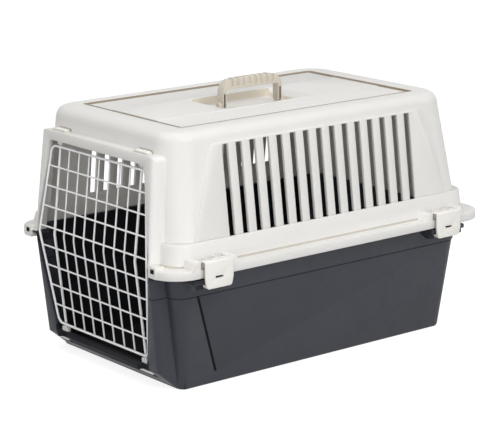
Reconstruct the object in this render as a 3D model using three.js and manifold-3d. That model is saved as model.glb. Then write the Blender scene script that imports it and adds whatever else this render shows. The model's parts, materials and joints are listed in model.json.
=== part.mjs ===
// Pet transport carrier: a dark tub, a pale vented cover that sits on its rim, a bent wire door,
// four side latches and a folding carry handle.
//
// Frame: millimetres, +Z up, the door faces -Y, origin at the centre of the footprint on the ground.

import * as THREE from 'three';
import { mergeVertices } from 'three/addons/utils/BufferGeometryUtils.js';
import Module from 'manifold-3d';

const wasm = await Module();
wasm.setup();

// ---------------------------------------------------------------- driving dimensions

const GAP = 0.3; // running and seating gap between neighbouring pieces
const WALL = 2.6; // moulded wall of both shells

// Rim where the cover sits on the tub.
const RIM_HALF_WIDTH = 200;
const RIM_HALF_LENGTH = 300;
const RIM_CORNER = 45;
const RIM_BOTTOM = 174.4;
const RIM_TOP = RIM_BOTTOM + 12.3;
const RIM_EDGE_ROUND = 2.2;
const RIM_SEAT = RIM_TOP - WALL; // underside of the cover's rim plate
const RIM_FILLET = 2.2; // hollow rounding between the rim plate and the band
const RIM_END_LENGTH = 17; // front end of the rim beside the door
const RIM_END_DEPTH = 15;
const RIM_END_RISE = 4;
const RIM_END_GAP = 1.5; // from the end to the door surround
const RIM_HOLE_WIDTH = 9; // square hole into each front end
const RIM_HOLE_HEIGHT = 6.5;
const RIM_HOLE_RISE = 6.5;

const SHELL_CENTRE_Y = -3; // both shells sit a little forward of the rim's centre

// Tub.
const TUB_BASE_HALF_WIDTH = RIM_HALF_WIDTH - 48.3;
const TUB_BASE_HALF_LENGTH = RIM_HALF_LENGTH - 50.6;
const TUB_DRAFT = 0.1224; // outward run of the wall per millimetre of height
const TUB_CORNER_BASE = 13;
const TUB_CORNER_TOP = 22;
const TUB_EDGE_ROUND = 4;
const TUB_BAND_BOTTOM = RIM_BOTTOM - 34.4; // the band under the rim, slightly proud of the wall
const TUB_BAND_PROUD = 1.4;
const TUB_GROOVE_WIDTH = 4.4;
const TUB_GROOVE_DEPTH = 1.7;
const TUB_GROOVE_TOP_Y = -RIM_HALF_LENGTH + 69.5;
const TUB_GROOVE_FOOT_Y = -RIM_HALF_LENGTH + 109.5;
const TUB_GROOVE_FOOT_Z = 19;

// Cover.
const BAND_HALF_WIDTH_LOW = RIM_HALF_WIDTH - 19.5;
const BAND_LEAN = 2.5; // how far the band leans in over its height
const BAND_HALF_WIDTH_HIGH = BAND_HALF_WIDTH_LOW - BAND_LEAN;
const BAND_FRONT = -RIM_HALF_LENGTH + 22.5;
const BAND_REAR = RIM_HALF_LENGTH - 20;
const BAND_TOP = RIM_TOP + 31.3;
const BAND_EDGE_ROUND = 1.5;
const COVER_HALF_WIDTH_LOW = BAND_HALF_WIDTH_HIGH - 4.4; // wall just above the band
const COVER_FRONT_LOW = BAND_FRONT + 6.3;
const COVER_REAR_LOW = BAND_REAR - 7;
const COVER_DRAFT_SIDE = 0.1262;
const COVER_DRAFT_FRONT = 0.05;
const COVER_DRAFT_REAR = 0.12;
const COVER_CORNER_LOW = 40;
const COVER_CORNER_HIGH = 44;
const BAND_CORNER = 28;
const COVER_TOP = 368.9;
const COVER_TOP_ROUND = 14;
const COVER_TOP_BORDER_SIDE = 31.8; // from the wall's line at the top to the sunk panel
const COVER_TOP_BORDER_END = 39.5;
const TOP_PANEL_DEPTH = 1.5;
const TOP_GROOVE_WIDTH = 5; // channel round the sunk panel, inside its edge
const TOP_GROOVE_DEPTH = 2.6;
const TOP_PANEL_CORNER = 7;
const TOP_STRIP_HALF_WIDTH = 53; // raised strip down the middle of the top panel
const TOP_STRIP_HEIGHT = 0.6;
const SIDE_PANEL_RISE = 1.8;
const SIDE_PANEL_TOP = COVER_TOP - 20.4;
const SIDE_PANEL_HALF_LOW = RIM_HALF_LENGTH - 64; // half length of the side panel at the band
const SIDE_PANEL_LEAN = 0.325; // the panel's ends lean inward by this much per millimetre
const SIDE_PANEL_CORNER = 10;

// Vent slots, cut through both sides.
const SLOT_COUNT = 15;
const SLOT_PITCH = 24.3;
const SLOT_WIDTH = 11;
const SLOT_TOP = SIDE_PANEL_TOP - 2.5;
const SLAT_THICKNESS = 5;
const SLAT_BORDER = 5; // how far the thick slats run past the outer slots

// Door opening in the surround that stands out from both shells.
const DOOR_BEND_Z = RIM_BOTTOM + 11.1; // opening, surround and door are widest and foremost here
const OPENING_HALF_BOTTOM = RIM_HALF_WIDTH - 85.5;
const OPENING_HALF_BEND = RIM_HALF_WIDTH - 58.8;
const OPENING_HALF_TOP = RIM_HALF_WIDTH - 81.7;
const OPENING_BEND_HALF = 14; // the sides stand upright over this height each way from the bend
const OPENING_BEND_ROUND = 12;
const OPENING_CORNER = 9;
const OPENING_LIP_DEPTH = 8;
const LINTEL_TOP = COVER_TOP - 30.9;
const LINTEL_BOTTOM = LINTEL_TOP - 13.5;
const SILL_TOP = 36;
const SILL_FRONT_BOTTOM = 29;
const SILL_FOOT = 3; // the sill's sloping underside meets the tub wall here

// Wire door: rods and uprights lie in a plane bent forward at mid height.
const DOOR_AXIS_X = OPENING_HALF_BOTTOM - 13; // both thick rods, one of which is the hinge
const DOOR_AXIS_Y = -RIM_HALF_LENGTH + 26.7;
const DOOR_BOTTOM = SILL_TOP + 11;
const DOOR_TOP = LINTEL_BOTTOM - 9.3;
const DOOR_BULGE = 15.4;
const DOOR_BEND_RADIUS = 30;
const ROD_RADIUS = 2;
const FRAME_RADIUS = 1.8;
const WIRE_RADIUS = 1.3;
const UPRIGHT_COUNT = 7;
const CROSSBAR_COUNT = 8;
const CROSSBAR_PITCH = 30;
const CROSSBAR_FIRST = (DOOR_TOP + DOOR_BOTTOM) / 2 - (CROSSBAR_COUNT - 1) / 2 * CROSSBAR_PITCH - 1.1;
const FRAME_HALF_BOTTOM = OPENING_HALF_BOTTOM - 1.5;
const FRAME_HALF_BEND = OPENING_HALF_BEND - 5.9;
const FRAME_HALF_TOP = OPENING_HALF_TOP - 1.3;
const FRAME_CORNER = 11;
const ROD_TOP_END = LINTEL_BOTTOM - 1.5;
const ROD_BOTTOM_END = SILL_TOP + 1;

// Door surround.
const SURROUND_FRONT_MID = DOOR_AXIS_Y - 22.5;
const SURROUND_FRONT_TOP = DOOR_AXIS_Y - 7.5;
const SURROUND_FRONT_SILL = DOOR_AXIS_Y - 6.7;
const SURROUND_HALF_MID = OPENING_HALF_BEND + 5.8;
const SURROUND_HALF_TOP = OPENING_HALF_TOP + 21.5;
const SURROUND_HALF_SILL = OPENING_HALF_BOTTOM + 29;
const SURROUND_EDGE = 8; // rounding of its outer upright edges
const SURROUND_SHOULDER = 14; // rounding of the lintel's ends
const SURROUND_FLARE = 4; // the upper columns narrow by this much at the lintel
const SURROUND_REACH = 30; // how far it runs back into the cabin before the cabin is hollowed

// Lower bearing of each rod.
const BUSH_RADIUS = 6.5;
const BUSH_TOP = SILL_TOP + 6.5;
const BUSH_FOOT_WIDTH = 30;
const BUSH_FOOT_OFFSET = 5; // the foot reaches further outboard than inboard
const BUSH_FOOT_TOP = SILL_TOP - WALL;
const BUSH_FOOT_BOTTOM = SILL_TOP - 13;
const BUSH_FOOT_DEPTH = 7;
const SILL_BOSS_WIDTH = 13;
const SILL_BOSS_REACH = 8;
const SILL_BOSS_DROP = 0.3; // the rod's lower end passes over the boss

// Upper slider of each rod.
const SLIDER_PAD_WIDTH = 32;
const SLIDER_PAD_BOTTOM = LINTEL_TOP - 9;
const SLIDER_PAD_TOP = LINTEL_TOP + 2;
const SLIDER_PAD_FRONT = 2; // pad's front face ahead of the rod's axis
const SLIDER_PAD_DEPTH = 9;
const SLIDER_RIDGES = 5;
const SLIDER_RIDGE_SIZE = 1.6;
const SLIDER_GUIDE_GAP = 0.8; // room round the pad and the fork in the lintel
const SLIDER_FORK_BOTTOM = LINTEL_BOTTOM - 7;
const SLIDER_FORK_HALF_WIDTH = 6.2;
const ROD_BORE_CLEARANCE = 0.4;

// Side latches.
const LATCH_CENTRES_Y = [-RIM_HALF_LENGTH + 78, RIM_HALF_LENGTH - 89];
const LATCH_LENGTH = 48;
const LATCH_PIVOT_X = RIM_HALF_WIDTH - 5.5;
const LATCH_PIVOT_Z = RIM_TOP + 6.3;
const LATCH_BARREL_RADIUS = 4.8;
const LATCH_FACE_X = RIM_HALF_WIDTH + 8;
const LATCH_PLATE = 3.6;
const LATCH_BOTTOM = RIM_BOTTOM - 15.4;
const LATCH_HOOK_TOP = LATCH_BOTTOM + 5.8;
const LATCH_HOOK_REACH = 6.5;
const LATCH_TOP = LATCH_PIVOT_Z + 5.4;
const LATCH_TAPER = 3;
const LATCH_CORNER = 6;
const LATCH_SLOT_LENGTH = 14;
const LATCH_SLOT_HEIGHT = 3.4;
const LATCH_SLOT_Z = LATCH_BOTTOM + 15.8;
const LATCH_END_GAP = 1;
const LATCH_PIN_RADIUS = 2;
const EAR_LENGTH = 11;
const EAR_RAMP = 5;
const EAR_TOP = LATCH_PIVOT_Z + 5;
const EAR_INSET = 0.6; // ear's outer face behind the rim's edge
const KNUCKLE_RIB = 2.5; // two ribs of the cover reach between the latch's knuckles
const KNUCKLE_OFFSET = 8;
const CATCH_BOTTOM = LATCH_HOOK_TOP + 1.2;
const CATCH_TOP = CATCH_BOTTOM + 6;
const CATCH_FACE_X = RIM_HALF_WIDTH + 1;
const BRACKET_FACE_X = RIM_HALF_WIDTH - 5;
const BRACKET_FOOT = RIM_BOTTOM - 17;
const BRACKET_LIP = 8; // width of the foot, from which the underside slopes up to the tub wall
const BRACKET_RISE = 12;
const BRACKET_ROOT = 8; // its back lies this far outside the line of the tub's base
const BRACKET_OVERHANG_INNER = 4;
const BRACKET_OVERHANG_OUTER = 14;

// Carry handle and its pocket.
const HANDLE_CENTRE_Y = -2.2;
const HANDLE_HALF_SPAN = 55.5;
const HANDLE_LEG = 6;
const HANDLE_HALF_DEPTH = 7;
const HANDLE_TOP = COVER_TOP + 33.1;
const HANDLE_GRIP = 16;
const HANDLE_SHOULDER = 22;
const HANDLE_CROWN = 2.5; // rise of the grip's middle over its ends
const HANDLE_EDGE = 3.5;
const HANDLE_PIVOT_Z = COVER_TOP - 5.9;
const HANDLE_PIN_RADIUS = 2.5;
const HANDLE_LEG_SLOT = 3;
const HANDLE_LEG_SLOT_DEPTH = 5.5;
const HANDLE_GROOVES = 8;
const HANDLE_GROOVE_PITCH = 11;
const HANDLE_GROOVE_WIDTH = 4.4;
const HANDLE_GROOVE_DEPTH = 2;
const HANDLE_GROOVE_WRAP = 1.3; // depth of the grooves over the top of the grip
const HANDLE_RAIL = 4; // plain rail under the grooves
const POCKET_FLOOR = COVER_TOP - 13.9;
const POCKET_HALF_WIDTH = 47;
const POCKET_HALF_LENGTH = HANDLE_HALF_SPAN + 27.5;
const POCKET_SIDE_RAMP = 3;
const POCKET_END_RAMP = 17;
const POCKET_CORNER = 9;
const HANDLE_EAR_RADIUS = 4.8;
const HANDLE_EAR_THICKNESS = 4.5;
const HANDLE_EAR_GAP = 0.5;

// ---------------------------------------------------------------- shape helpers

const IDENTITY = new THREE.Matrix4();
const vec = (x, y, z) => new THREE.Vector3(x, y, z);
const lerp = THREE.MathUtils.lerp;

/** Turn a closed three.js geometry into a manifold solid, placed by a matrix. */
function solid(geometry, matrix = IDENTITY) {
  const bare = geometry.clone();
  bare.deleteAttribute('normal');
  bare.deleteAttribute('uv');
  bare.applyMatrix4(matrix);
  const merged = mergeVertices(bare, 1e-4);
  return new wasm.Manifold(new wasm.Mesh({
    numProp: 3,
    vertProperties: new Float32Array(merged.attributes.position.array),
    triVerts: new Uint32Array(merged.index.array),
  }));
}

/** Turn a manifold solid back into a geometry with flat faces. */
function geometryOf(body) {
  const mesh = body.getMesh();
  const geometry = new THREE.BufferGeometry();
  geometry.setAttribute('position', new THREE.BufferAttribute(mesh.vertProperties, 3));
  geometry.setIndex(new THREE.BufferAttribute(mesh.triVerts, 1));
  geometry.computeVertexNormals();
  return geometry;
}

/** A box between two corners. */
function box([x0, y0, z0], [x1, y1, z1]) {
  const geometry = new THREE.BoxGeometry(x1 - x0, y1 - y0, z1 - z0);
  geometry.translate((x0 + x1) / 2, (y0 + y1) / 2, (z0 + z1) / 2);
  return solid(geometry);
}

/** Bases that lay an extruded outline's (u, v, run) along (x, z, -y), (y, z, x) or (x, y, z). */
const BASES = {
  x: new THREE.Matrix4().makeBasis(vec(0, 1, 0), vec(0, 0, 1), vec(1, 0, 0)),
  y: new THREE.Matrix4().makeBasis(vec(1, 0, 0), vec(0, 0, 1), vec(0, -1, 0)),
  z: new THREE.Matrix4(),
};

/** Extrude a shape along an axis, from one place to another. The outline's u, v are y, z or x, z or x, y. */
function extrude(shape, axis, from, to, curveSegments = 6) {
  const geometry = new THREE.ExtrudeGeometry(shape, { depth: to - from, bevelEnabled: false, curveSegments });
  const start = axis === 'y' ? -to : from;
  geometry.translate(0, 0, start);
  return solid(geometry, BASES[axis]);
}

/** A closed outline through points, with its corners rounded by the radius given to each. */
function outline(points) {
  const shape = new THREE.Shape();
  const count = points.length;
  points.forEach(([u, v, radius = 0], i) => {
    const corner = new THREE.Vector2(u, v);
    const before = new THREE.Vector2(...points[(i + count - 1) % count].slice(0, 2));
    const after = new THREE.Vector2(...points[(i + 1) % count].slice(0, 2));
    const towardBefore = before.clone().sub(corner);
    const towardAfter = after.clone().sub(corner);
    const half = Math.abs(towardBefore.angleTo(towardAfter)) / 2;
    const room = Math.min(towardBefore.length(), towardAfter.length()) * 0.49;
    const setback = Math.min(radius / Math.tan(half), room);
    const start = corner.clone().addScaledVector(towardBefore.normalize(), setback);
    const end = corner.clone().addScaledVector(towardAfter.normalize(), setback);
    if (i === 0) shape.moveTo(start.x, start.y);
    else shape.lineTo(start.x, start.y);
    if (radius > 0) shape.quadraticCurveTo(corner.x, corner.y, end.x, end.y);
  });
  shape.closePath();
  return shape;
}

/** A round bar along an axis between two places. */
function bar(radius, axis, from, to, u, v, sides = 24) {
  const shape = new THREE.Shape();
  shape.absarc(u, v, radius, 0, 2 * Math.PI, false);
  return extrude(shape, axis, from, to, sides / 2); // a full circle takes two steps a segment
}

/** Points of a rounded rectangle at one height, anticlockwise seen from above. */
function roundedRing({ z, halfWidth, front, rear, corner }, segments = 8) {
  const centres = [
    [halfWidth - corner, rear - corner, 0],
    [-halfWidth + corner, rear - corner, 1],
    [-halfWidth + corner, front + corner, 2],
    [halfWidth - corner, front + corner, 3],
  ];
  return centres.flatMap(([x, y, quarter]) =>
    Array.from({ length: segments + 1 }, (_, k) => {
      const angle = (quarter + k / segments) * Math.PI / 2;
      return vec(x + corner * Math.cos(angle), y + corner * Math.sin(angle), z);
    }));
}

/** A closed skin over rings of equal length, stacked upward, with flat ends. */
function loft(rings) {
  const size = rings[0].length;
  const triangles = [];
  const add = (a, b, c) => triangles.push(a, b, c);
  for (let level = 0; level + 1 < rings.length; level++) {
    for (let k = 0; k < size; k++) {
      const next = (k + 1) % size;
      const [a, b] = [rings[level][k], rings[level][next]];
      const [c, d] = [rings[level + 1][k], rings[level + 1][next]];
      add(a, b, d);
      add(a, d, c);
    }
  }
  const [first, last] = [rings[0], rings[rings.length - 1]];
  for (let k = 1; k + 1 < size; k++) {
    add(first[0], first[k + 1], first[k]);
    add(last[0], last[k], last[k + 1]);
  }
  const geometry = new THREE.BufferGeometry().setFromPoints(triangles);
  return solid(geometry);
}

/** A path through given stations: a swept section stands at each station and nowhere else. */
class StationPath extends THREE.Curve {
  constructor(stations) {
    super();
    this.stations = stations;
  }

  getPoint(t, target = new THREE.Vector3()) {
    const place = t * (this.stations.length - 1);
    const i = Math.min(Math.floor(place), this.stations.length - 2);
    return target.lerpVectors(this.stations[i], this.stations[i + 1], place - i);
  }

  getPointAt(u, target) {
    return this.getPoint(u, target);
  }

  getTangentAt(u, target = new THREE.Vector3()) {
    const last = this.stations.length - 1;
    const i = Math.round(u * last);
    const ahead = this.stations[Math.min(i + 1, last)];
    const behind = this.stations[Math.max(i - 1, 0)];
    return target.subVectors(ahead, behind).normalize();
  }
}

/** A round wire swept through stations. */
function wire(stations, radius, sides = 8) {
  const section = new THREE.Shape();
  section.absarc(0, 0, radius, 0, 2 * Math.PI, false);
  const geometry = new THREE.ExtrudeGeometry(section, {
    steps: stations.length - 1,
    curveSegments: sides / 2,
    extrudePath: new StationPath(stations),
  });
  return solid(geometry);
}

/** Replace each inner corner of a polyline with a short bend of the given radius. */
function bend(corners, radius, segments = 4) {
  const stations = [corners[0]];
  for (let i = 1; i + 1 < corners.length; i++) {
    const toBefore = corners[i - 1].clone().sub(corners[i]);
    const toAfter = corners[i + 1].clone().sub(corners[i]);
    const half = toBefore.angleTo(toAfter) / 2;
    const setback = radius / Math.tan(half);
    const start = corners[i].clone().addScaledVector(toBefore.normalize(), setback);
    const end = corners[i].clone().addScaledVector(toAfter.normalize(), setback);
    const curve = new THREE.QuadraticBezierCurve3(start, corners[i], end);
    stations.push(...curve.getPoints(segments));
  }
  stations.push(corners[corners.length - 1]);
  return stations;
}

/** The same solid on the other side of the carrier. */
const mirrorX = (body) => body.mirror([1, 0, 0]);

/** Join solids into one. */
const join = (...bodies) => bodies.reduce((whole, next) => whole.add(next));

/** A solid and its twin on the other side, joined. */
const both = (body) => body.add(mirrorX(body));

// ---------------------------------------------------------------- cover

const WALL_FOOT = BAND_TOP + 0.8; // the wall rises from the band's ledge here

/** Level of the cover's wall, shrunk inward by an inset. */
function coverRing(z, inset = 0) {
  const rise = z - BAND_TOP;
  return roundedRing({
    z,
    halfWidth: COVER_HALF_WIDTH_LOW - COVER_DRAFT_SIDE * rise - inset,
    front: COVER_FRONT_LOW + COVER_DRAFT_FRONT * rise + inset,
    rear: COVER_REAR_LOW - COVER_DRAFT_REAR * rise - inset,
    corner: lerp(COVER_CORNER_LOW, COVER_CORNER_HIGH, rise / (COVER_TOP - BAND_TOP)) - inset,
  });
}

/** Level of the band between the rim and the wall. */
function bandRing(z, inset = 0) {
  const share = (z - RIM_TOP) / (BAND_TOP - RIM_TOP);
  return roundedRing({
    z,
    halfWidth: lerp(BAND_HALF_WIDTH_LOW, BAND_HALF_WIDTH_HIGH, share) - inset,
    front: BAND_FRONT + BAND_LEAN * share + inset,
    rear: BAND_REAR - BAND_LEAN * share - inset,
    corner: BAND_CORNER + BAND_LEAN - inset,
  });
}

/** Level of the rim, shrunk inward by an inset. */
const rimRing = (z, inset = 0) => roundedRing({
  z,
  halfWidth: RIM_HALF_WIDTH - inset,
  front: -RIM_HALF_LENGTH + inset,
  rear: RIM_HALF_LENGTH - inset,
  corner: RIM_CORNER - inset,
}, 12);

/** The cover's outside above the rim, shrunk by an inset; the top edge keeps its rounding. */
function coverBody(inset) {
  const shoulder = COVER_TOP - COVER_TOP_ROUND;
  const round = [0, 0.2, 0.4, 0.6, 0.8, 1].map((share) => {
    const angle = share * Math.PI / 2;
    const z = shoulder - inset + COVER_TOP_ROUND * Math.sin(angle);
    return coverRing(z, inset + COVER_TOP_ROUND * (1 - Math.cos(angle)));
  });
  return loft([
    bandRing(RIM_BOTTOM - 1, inset),
    bandRing(BAND_TOP - BAND_EDGE_ROUND, inset),
    bandRing(BAND_TOP, inset + BAND_EDGE_ROUND * 0.7),
    coverRing(WALL_FOOT, inset),
    ...round,
  ]);
}

/** Outward line of the surround's front and side at one height. */
function surroundRing(z, inset, frontInset = inset) {
  const low = z < DOOR_BEND_Z;
  const share = low ? (z - SILL_FRONT_BOTTOM) / (DOOR_BEND_Z - SILL_FRONT_BOTTOM)
    : (LINTEL_TOP - z) / (LINTEL_TOP - DOOR_BEND_Z);
  const end = low ? { front: SURROUND_FRONT_SILL, half: SURROUND_HALF_SILL }
    : { front: SURROUND_FRONT_TOP, half: SURROUND_HALF_TOP };
  return {
    z,
    halfWidth: lerp(end.half, SURROUND_HALF_MID, share) - inset,
    front: lerp(end.front, SURROUND_FRONT_MID, share) + frontInset,
    rear: -TUB_BASE_HALF_LENGTH + SURROUND_REACH,
    corner: Math.max(SURROUND_EDGE - inset, 2),
  };
}

/** The surround as a solid, shrunk by an inset on its outer sides, its underside and its top. */
function surroundBody(inset, frontInset = inset) {
  const sillRun = SURROUND_FRONT_SILL + TUB_BASE_HALF_LENGTH;
  const sillRise = SILL_FRONT_BOTTOM - SILL_FOOT;
  const slopeShift = inset * Math.hypot(sillRun, sillRise) / sillRise;
  const foot = surroundRing(SILL_FRONT_BOTTOM, inset, frontInset);
  foot.z = SILL_FOOT;
  foot.front = -TUB_BASE_HALF_LENGTH + slopeShift;
  const knee = surroundRing(SILL_FRONT_BOTTOM, inset, frontInset);
  knee.z += (slopeShift - frontInset) * sillRise / -sillRun;
  const levels = [knee.z + 0.01, DOOR_BEND_Z, LINTEL_TOP - inset];
  const rings = levels.map((z) => surroundRing(z, inset, frontInset));
  rings[0].z = knee.z;
  const skin = loft([foot, ...rings].map((ring) => roundedRing(ring, 4)));
  const top = SURROUND_HALF_TOP - inset;
  const wide = SURROUND_HALF_MID + 10;
  const front = outline([
    [-wide, 0], [wide, 0], [wide, DOOR_BEND_Z], [top + SURROUND_FLARE, LINTEL_BOTTOM - 22],
    [top, LINTEL_TOP - inset, SURROUND_SHOULDER], [-top, LINTEL_TOP - inset, SURROUND_SHOULDER],
    [-top - SURROUND_FLARE, LINTEL_BOTTOM - 22], [-wide, DOOR_BEND_Z],
  ]);
  return skin.intersect(extrude(front, 'y', SURROUND_FRONT_MID - 5, -100));
}

/** The door opening, grown by an offset. */
const openingOutline = (grow = 0) => outline([
  [-OPENING_HALF_BOTTOM - grow, SILL_TOP - grow],
  [OPENING_HALF_BOTTOM + grow, SILL_TOP - grow],
  [OPENING_HALF_BEND + grow, DOOR_BEND_Z - OPENING_BEND_HALF, OPENING_BEND_ROUND],
  [OPENING_HALF_BEND + grow, DOOR_BEND_Z + OPENING_BEND_HALF, OPENING_BEND_ROUND],
  [OPENING_HALF_TOP + grow, LINTEL_BOTTOM + grow, OPENING_CORNER + grow],
  [-OPENING_HALF_TOP - grow, LINTEL_BOTTOM + grow, OPENING_CORNER + grow],
  [-OPENING_HALF_BEND - grow, DOOR_BEND_Z + OPENING_BEND_HALF, OPENING_BEND_ROUND],
  [-OPENING_HALF_BEND - grow, DOOR_BEND_Z - OPENING_BEND_HALF, OPENING_BEND_ROUND],
]);

const SURROUND_FRONT_LIMIT = SURROUND_FRONT_MID - 10;
const SURROUND_BACK_LIMIT = -TUB_BASE_HALF_LENGTH + SURROUND_REACH - 1;
const surround = surroundBody(0);
const surroundHollow = surroundBody(WALL);
const openingCut = extrude(openingOutline(), 'y', SURROUND_FRONT_LIMIT, SURROUND_BACK_LIMIT);
const openingLip = extrude(openingOutline(WALL), 'y', SURROUND_FRONT_LIMIT, SURROUND_BACK_LIMIT)
  .intersect(surround)
  .subtract(surroundBody(-1, OPENING_LIP_DEPTH));

/** Keep what is above or below the seam between tub and cover. */
const above = (body, z) => body.intersect(box([-400, -400, z], [400, 400, 500]));
const below = (body, z) => body.intersect(box([-400, -400, -10], [400, 400, z]));

/** The parts of the rim that carry a latch: two ears with a ramp, and two knuckle ribs. */
function latchSeat(centreY) {
  const inner = BAND_HALF_WIDTH_HIGH;
  const outer = RIM_HALF_WIDTH - EAR_INSET;
  const halfLatch = LATCH_LENGTH / 2 + LATCH_END_GAP;
  const pieces = [-1, 1].map((side) => {
    const near = centreY + side * halfLatch;
    const far = near + side * EAR_LENGTH;
    const ear = outline([
      [near, RIM_SEAT + 1], [far + side * EAR_RAMP, RIM_SEAT + 1], [far, EAR_TOP, 2], [near, EAR_TOP],
    ]);
    return extrude(ear, 'x', inner, outer);
  });
  pieces.push(...[-1, 1].map((side) => {
    const y = centreY + side * KNUCKLE_OFFSET;
    const [from, to] = [y - KNUCKLE_RIB / 2, y + KNUCKLE_RIB / 2];
    const root = box([inner, from, RIM_SEAT + 1], [LATCH_PIVOT_X, to, EAR_TOP]);
    const nose = bar(EAR_TOP - LATCH_PIVOT_Z, 'y', from, to, LATCH_PIVOT_X, LATCH_PIVOT_Z);
    return root.add(nose);
  }));
  return join(...pieces);
}

/** Length of a latch's hinge pin, ear to ear. */
const latchPinHalf = LATCH_LENGTH / 2 + LATCH_END_GAP + EAR_LENGTH * 0.6;

function latchPinBore(centreY) {
  const reach = latchPinHalf + GAP;
  return bar(LATCH_PIN_RADIUS + GAP, 'y', centreY - reach, centreY + reach, LATCH_PIVOT_X, LATCH_PIVOT_Z, 16);
}

const slotYs = Array.from({ length: SLOT_COUNT }, (_, i) =>
  SHELL_CENTRE_Y + (i - (SLOT_COUNT - 1) / 2) * SLOT_PITCH);

/** The pocket under the carry handle at one height, grown sideways by an offset. */
function pocketRing(z, grow) {
  const climb = (z - POCKET_FLOOR) / (STRIP_TOP - POCKET_FLOOR) - 1;
  return roundedRing({
    z,
    halfWidth: POCKET_HALF_WIDTH + POCKET_SIDE_RAMP * climb + grow,
    front: HANDLE_CENTRE_Y - POCKET_HALF_LENGTH - POCKET_END_RAMP * climb - grow,
    rear: HANDLE_CENTRE_Y + POCKET_HALF_LENGTH + POCKET_END_RAMP * climb + grow,
    corner: POCKET_CORNER + grow,
  }, 4);
}

const PANEL_FLOOR = COVER_TOP - TOP_PANEL_DEPTH;
const STRIP_TOP = PANEL_FLOOR + TOP_STRIP_HEIGHT;
const CEILING = PANEL_FLOOR - WALL;
const wallRise = COVER_TOP - BAND_TOP;
const topPanel = {
  halfWidth: COVER_HALF_WIDTH_LOW - COVER_DRAFT_SIDE * wallRise - COVER_TOP_BORDER_SIDE,
  front: COVER_FRONT_LOW + COVER_DRAFT_FRONT * wallRise + COVER_TOP_BORDER_END + 2,
  rear: COVER_REAR_LOW - COVER_DRAFT_REAR * wallRise - COVER_TOP_BORDER_END,
};

/** An upright prism of the sunk panel's outline, grown sideways by an offset. */
function panelPrism(grow, from, to) {
  return loft([from, to].map((z) => roundedRing({
    z,
    halfWidth: topPanel.halfWidth + grow,
    front: topPanel.front - grow,
    rear: topPanel.rear + grow,
    corner: Math.max(TOP_PANEL_CORNER + grow, 2),
  }, 4)));
}

/** The channel round the sunk panel, or, grown by a wall, the moulding that carries it. */
function panelGroove(grow, bottom, top) {
  return panelPrism(grow, bottom, top).subtract(panelPrism(-TOP_GROOVE_WIDTH - grow, bottom - 1, top + 1));
}

/** Raised strip across the sunk panel, between the channel's two ends. */
const topStrip = () => box(
  [-TOP_STRIP_HALF_WIDTH, topPanel.front + TOP_GROOVE_WIDTH, CEILING + 1],
  [TOP_STRIP_HALF_WIDTH, topPanel.rear - TOP_GROOVE_WIDTH, STRIP_TOP],
);

/** Front end of the rim beside the door on the +X side, and the square hole through it. */
const rimEndX = SURROUND_HALF_MID + RIM_END_GAP;
const rimEnd = (gap, bottom, top) => box(
  [rimEndX - gap, -RIM_HALF_LENGTH + GAP - gap, bottom],
  [rimEndX + RIM_END_LENGTH + gap, -RIM_HALF_LENGTH + RIM_END_DEPTH + gap, top],
);
const rimHole = () => box(
  [rimEndX + (RIM_END_LENGTH - RIM_HOLE_WIDTH) / 2, -RIM_HALF_LENGTH - 5, RIM_BOTTOM + RIM_HOLE_RISE],
  [rimEndX + (RIM_END_LENGTH + RIM_HOLE_WIDTH) / 2, -RIM_HALF_LENGTH + RIM_END_DEPTH - WALL,
    RIM_BOTTOM + RIM_HOLE_RISE + RIM_HOLE_HEIGHT],
);

/** Raised side panels with thick slats behind them, and the slots between the slats. */
function addSidePanels(cover) {
  const panelEnd = (z) => SIDE_PANEL_HALF_LOW - SIDE_PANEL_LEAN * (z - BAND_TOP);
  const panelShape = outline([
    [SHELL_CENTRE_Y - panelEnd(BAND_TOP), WALL_FOOT],
    [SHELL_CENTRE_Y + panelEnd(BAND_TOP), WALL_FOOT],
    [SHELL_CENTRE_Y + panelEnd(SIDE_PANEL_TOP), SIDE_PANEL_TOP, SIDE_PANEL_CORNER],
    [SHELL_CENTRE_Y - panelEnd(SIDE_PANEL_TOP), SIDE_PANEL_TOP, SIDE_PANEL_CORNER],
  ]);
  const [from, to] = [TOP_STRIP_HALF_WIDTH, RIM_HALF_WIDTH];
  const core = coverBody(WALL / 2);
  const panel = extrude(panelShape, 'x', from, to).intersect(coverBody(-SIDE_PANEL_RISE)).subtract(core);
  const slotEnd = slotYs[SLOT_COUNT - 1] + SLOT_WIDTH / 2 + SLAT_BORDER;
  const slotStart = slotYs[0] - SLOT_WIDTH / 2 - SLAT_BORDER;
  const slatBack = box([from, slotStart, BAND_TOP - SLAT_BORDER], [to, slotEnd, SLOT_TOP + SLAT_BORDER])
    .intersect(core)
    .subtract(coverBody(SLAT_THICKNESS - SIDE_PANEL_RISE));
  const slots = slotYs.map((y) => box(
    [from, y - SLOT_WIDTH / 2, BAND_TOP],
    [to, y + SLOT_WIDTH / 2, SLOT_TOP],
  ));
  return cover
    .add(both(panel))
    .add(both(slatBack))
    .subtract(both(join(...slots)));
}

/** Guide of each slider in the lintel: a wide place for its pad and a narrow one for its fork. */
function sliderGuide(half, from, to) {
  const front = DOOR_AXIS_Y - SLIDER_PAD_FRONT;
  return both(box(
    [DOOR_AXIS_X - half - SLIDER_GUIDE_GAP, front - SLIDER_GUIDE_GAP, from],
    [DOOR_AXIS_X + half + SLIDER_GUIDE_GAP, front + SLIDER_PAD_DEPTH + SLIDER_GUIDE_GAP, to + GAP],
  ));
}

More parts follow.
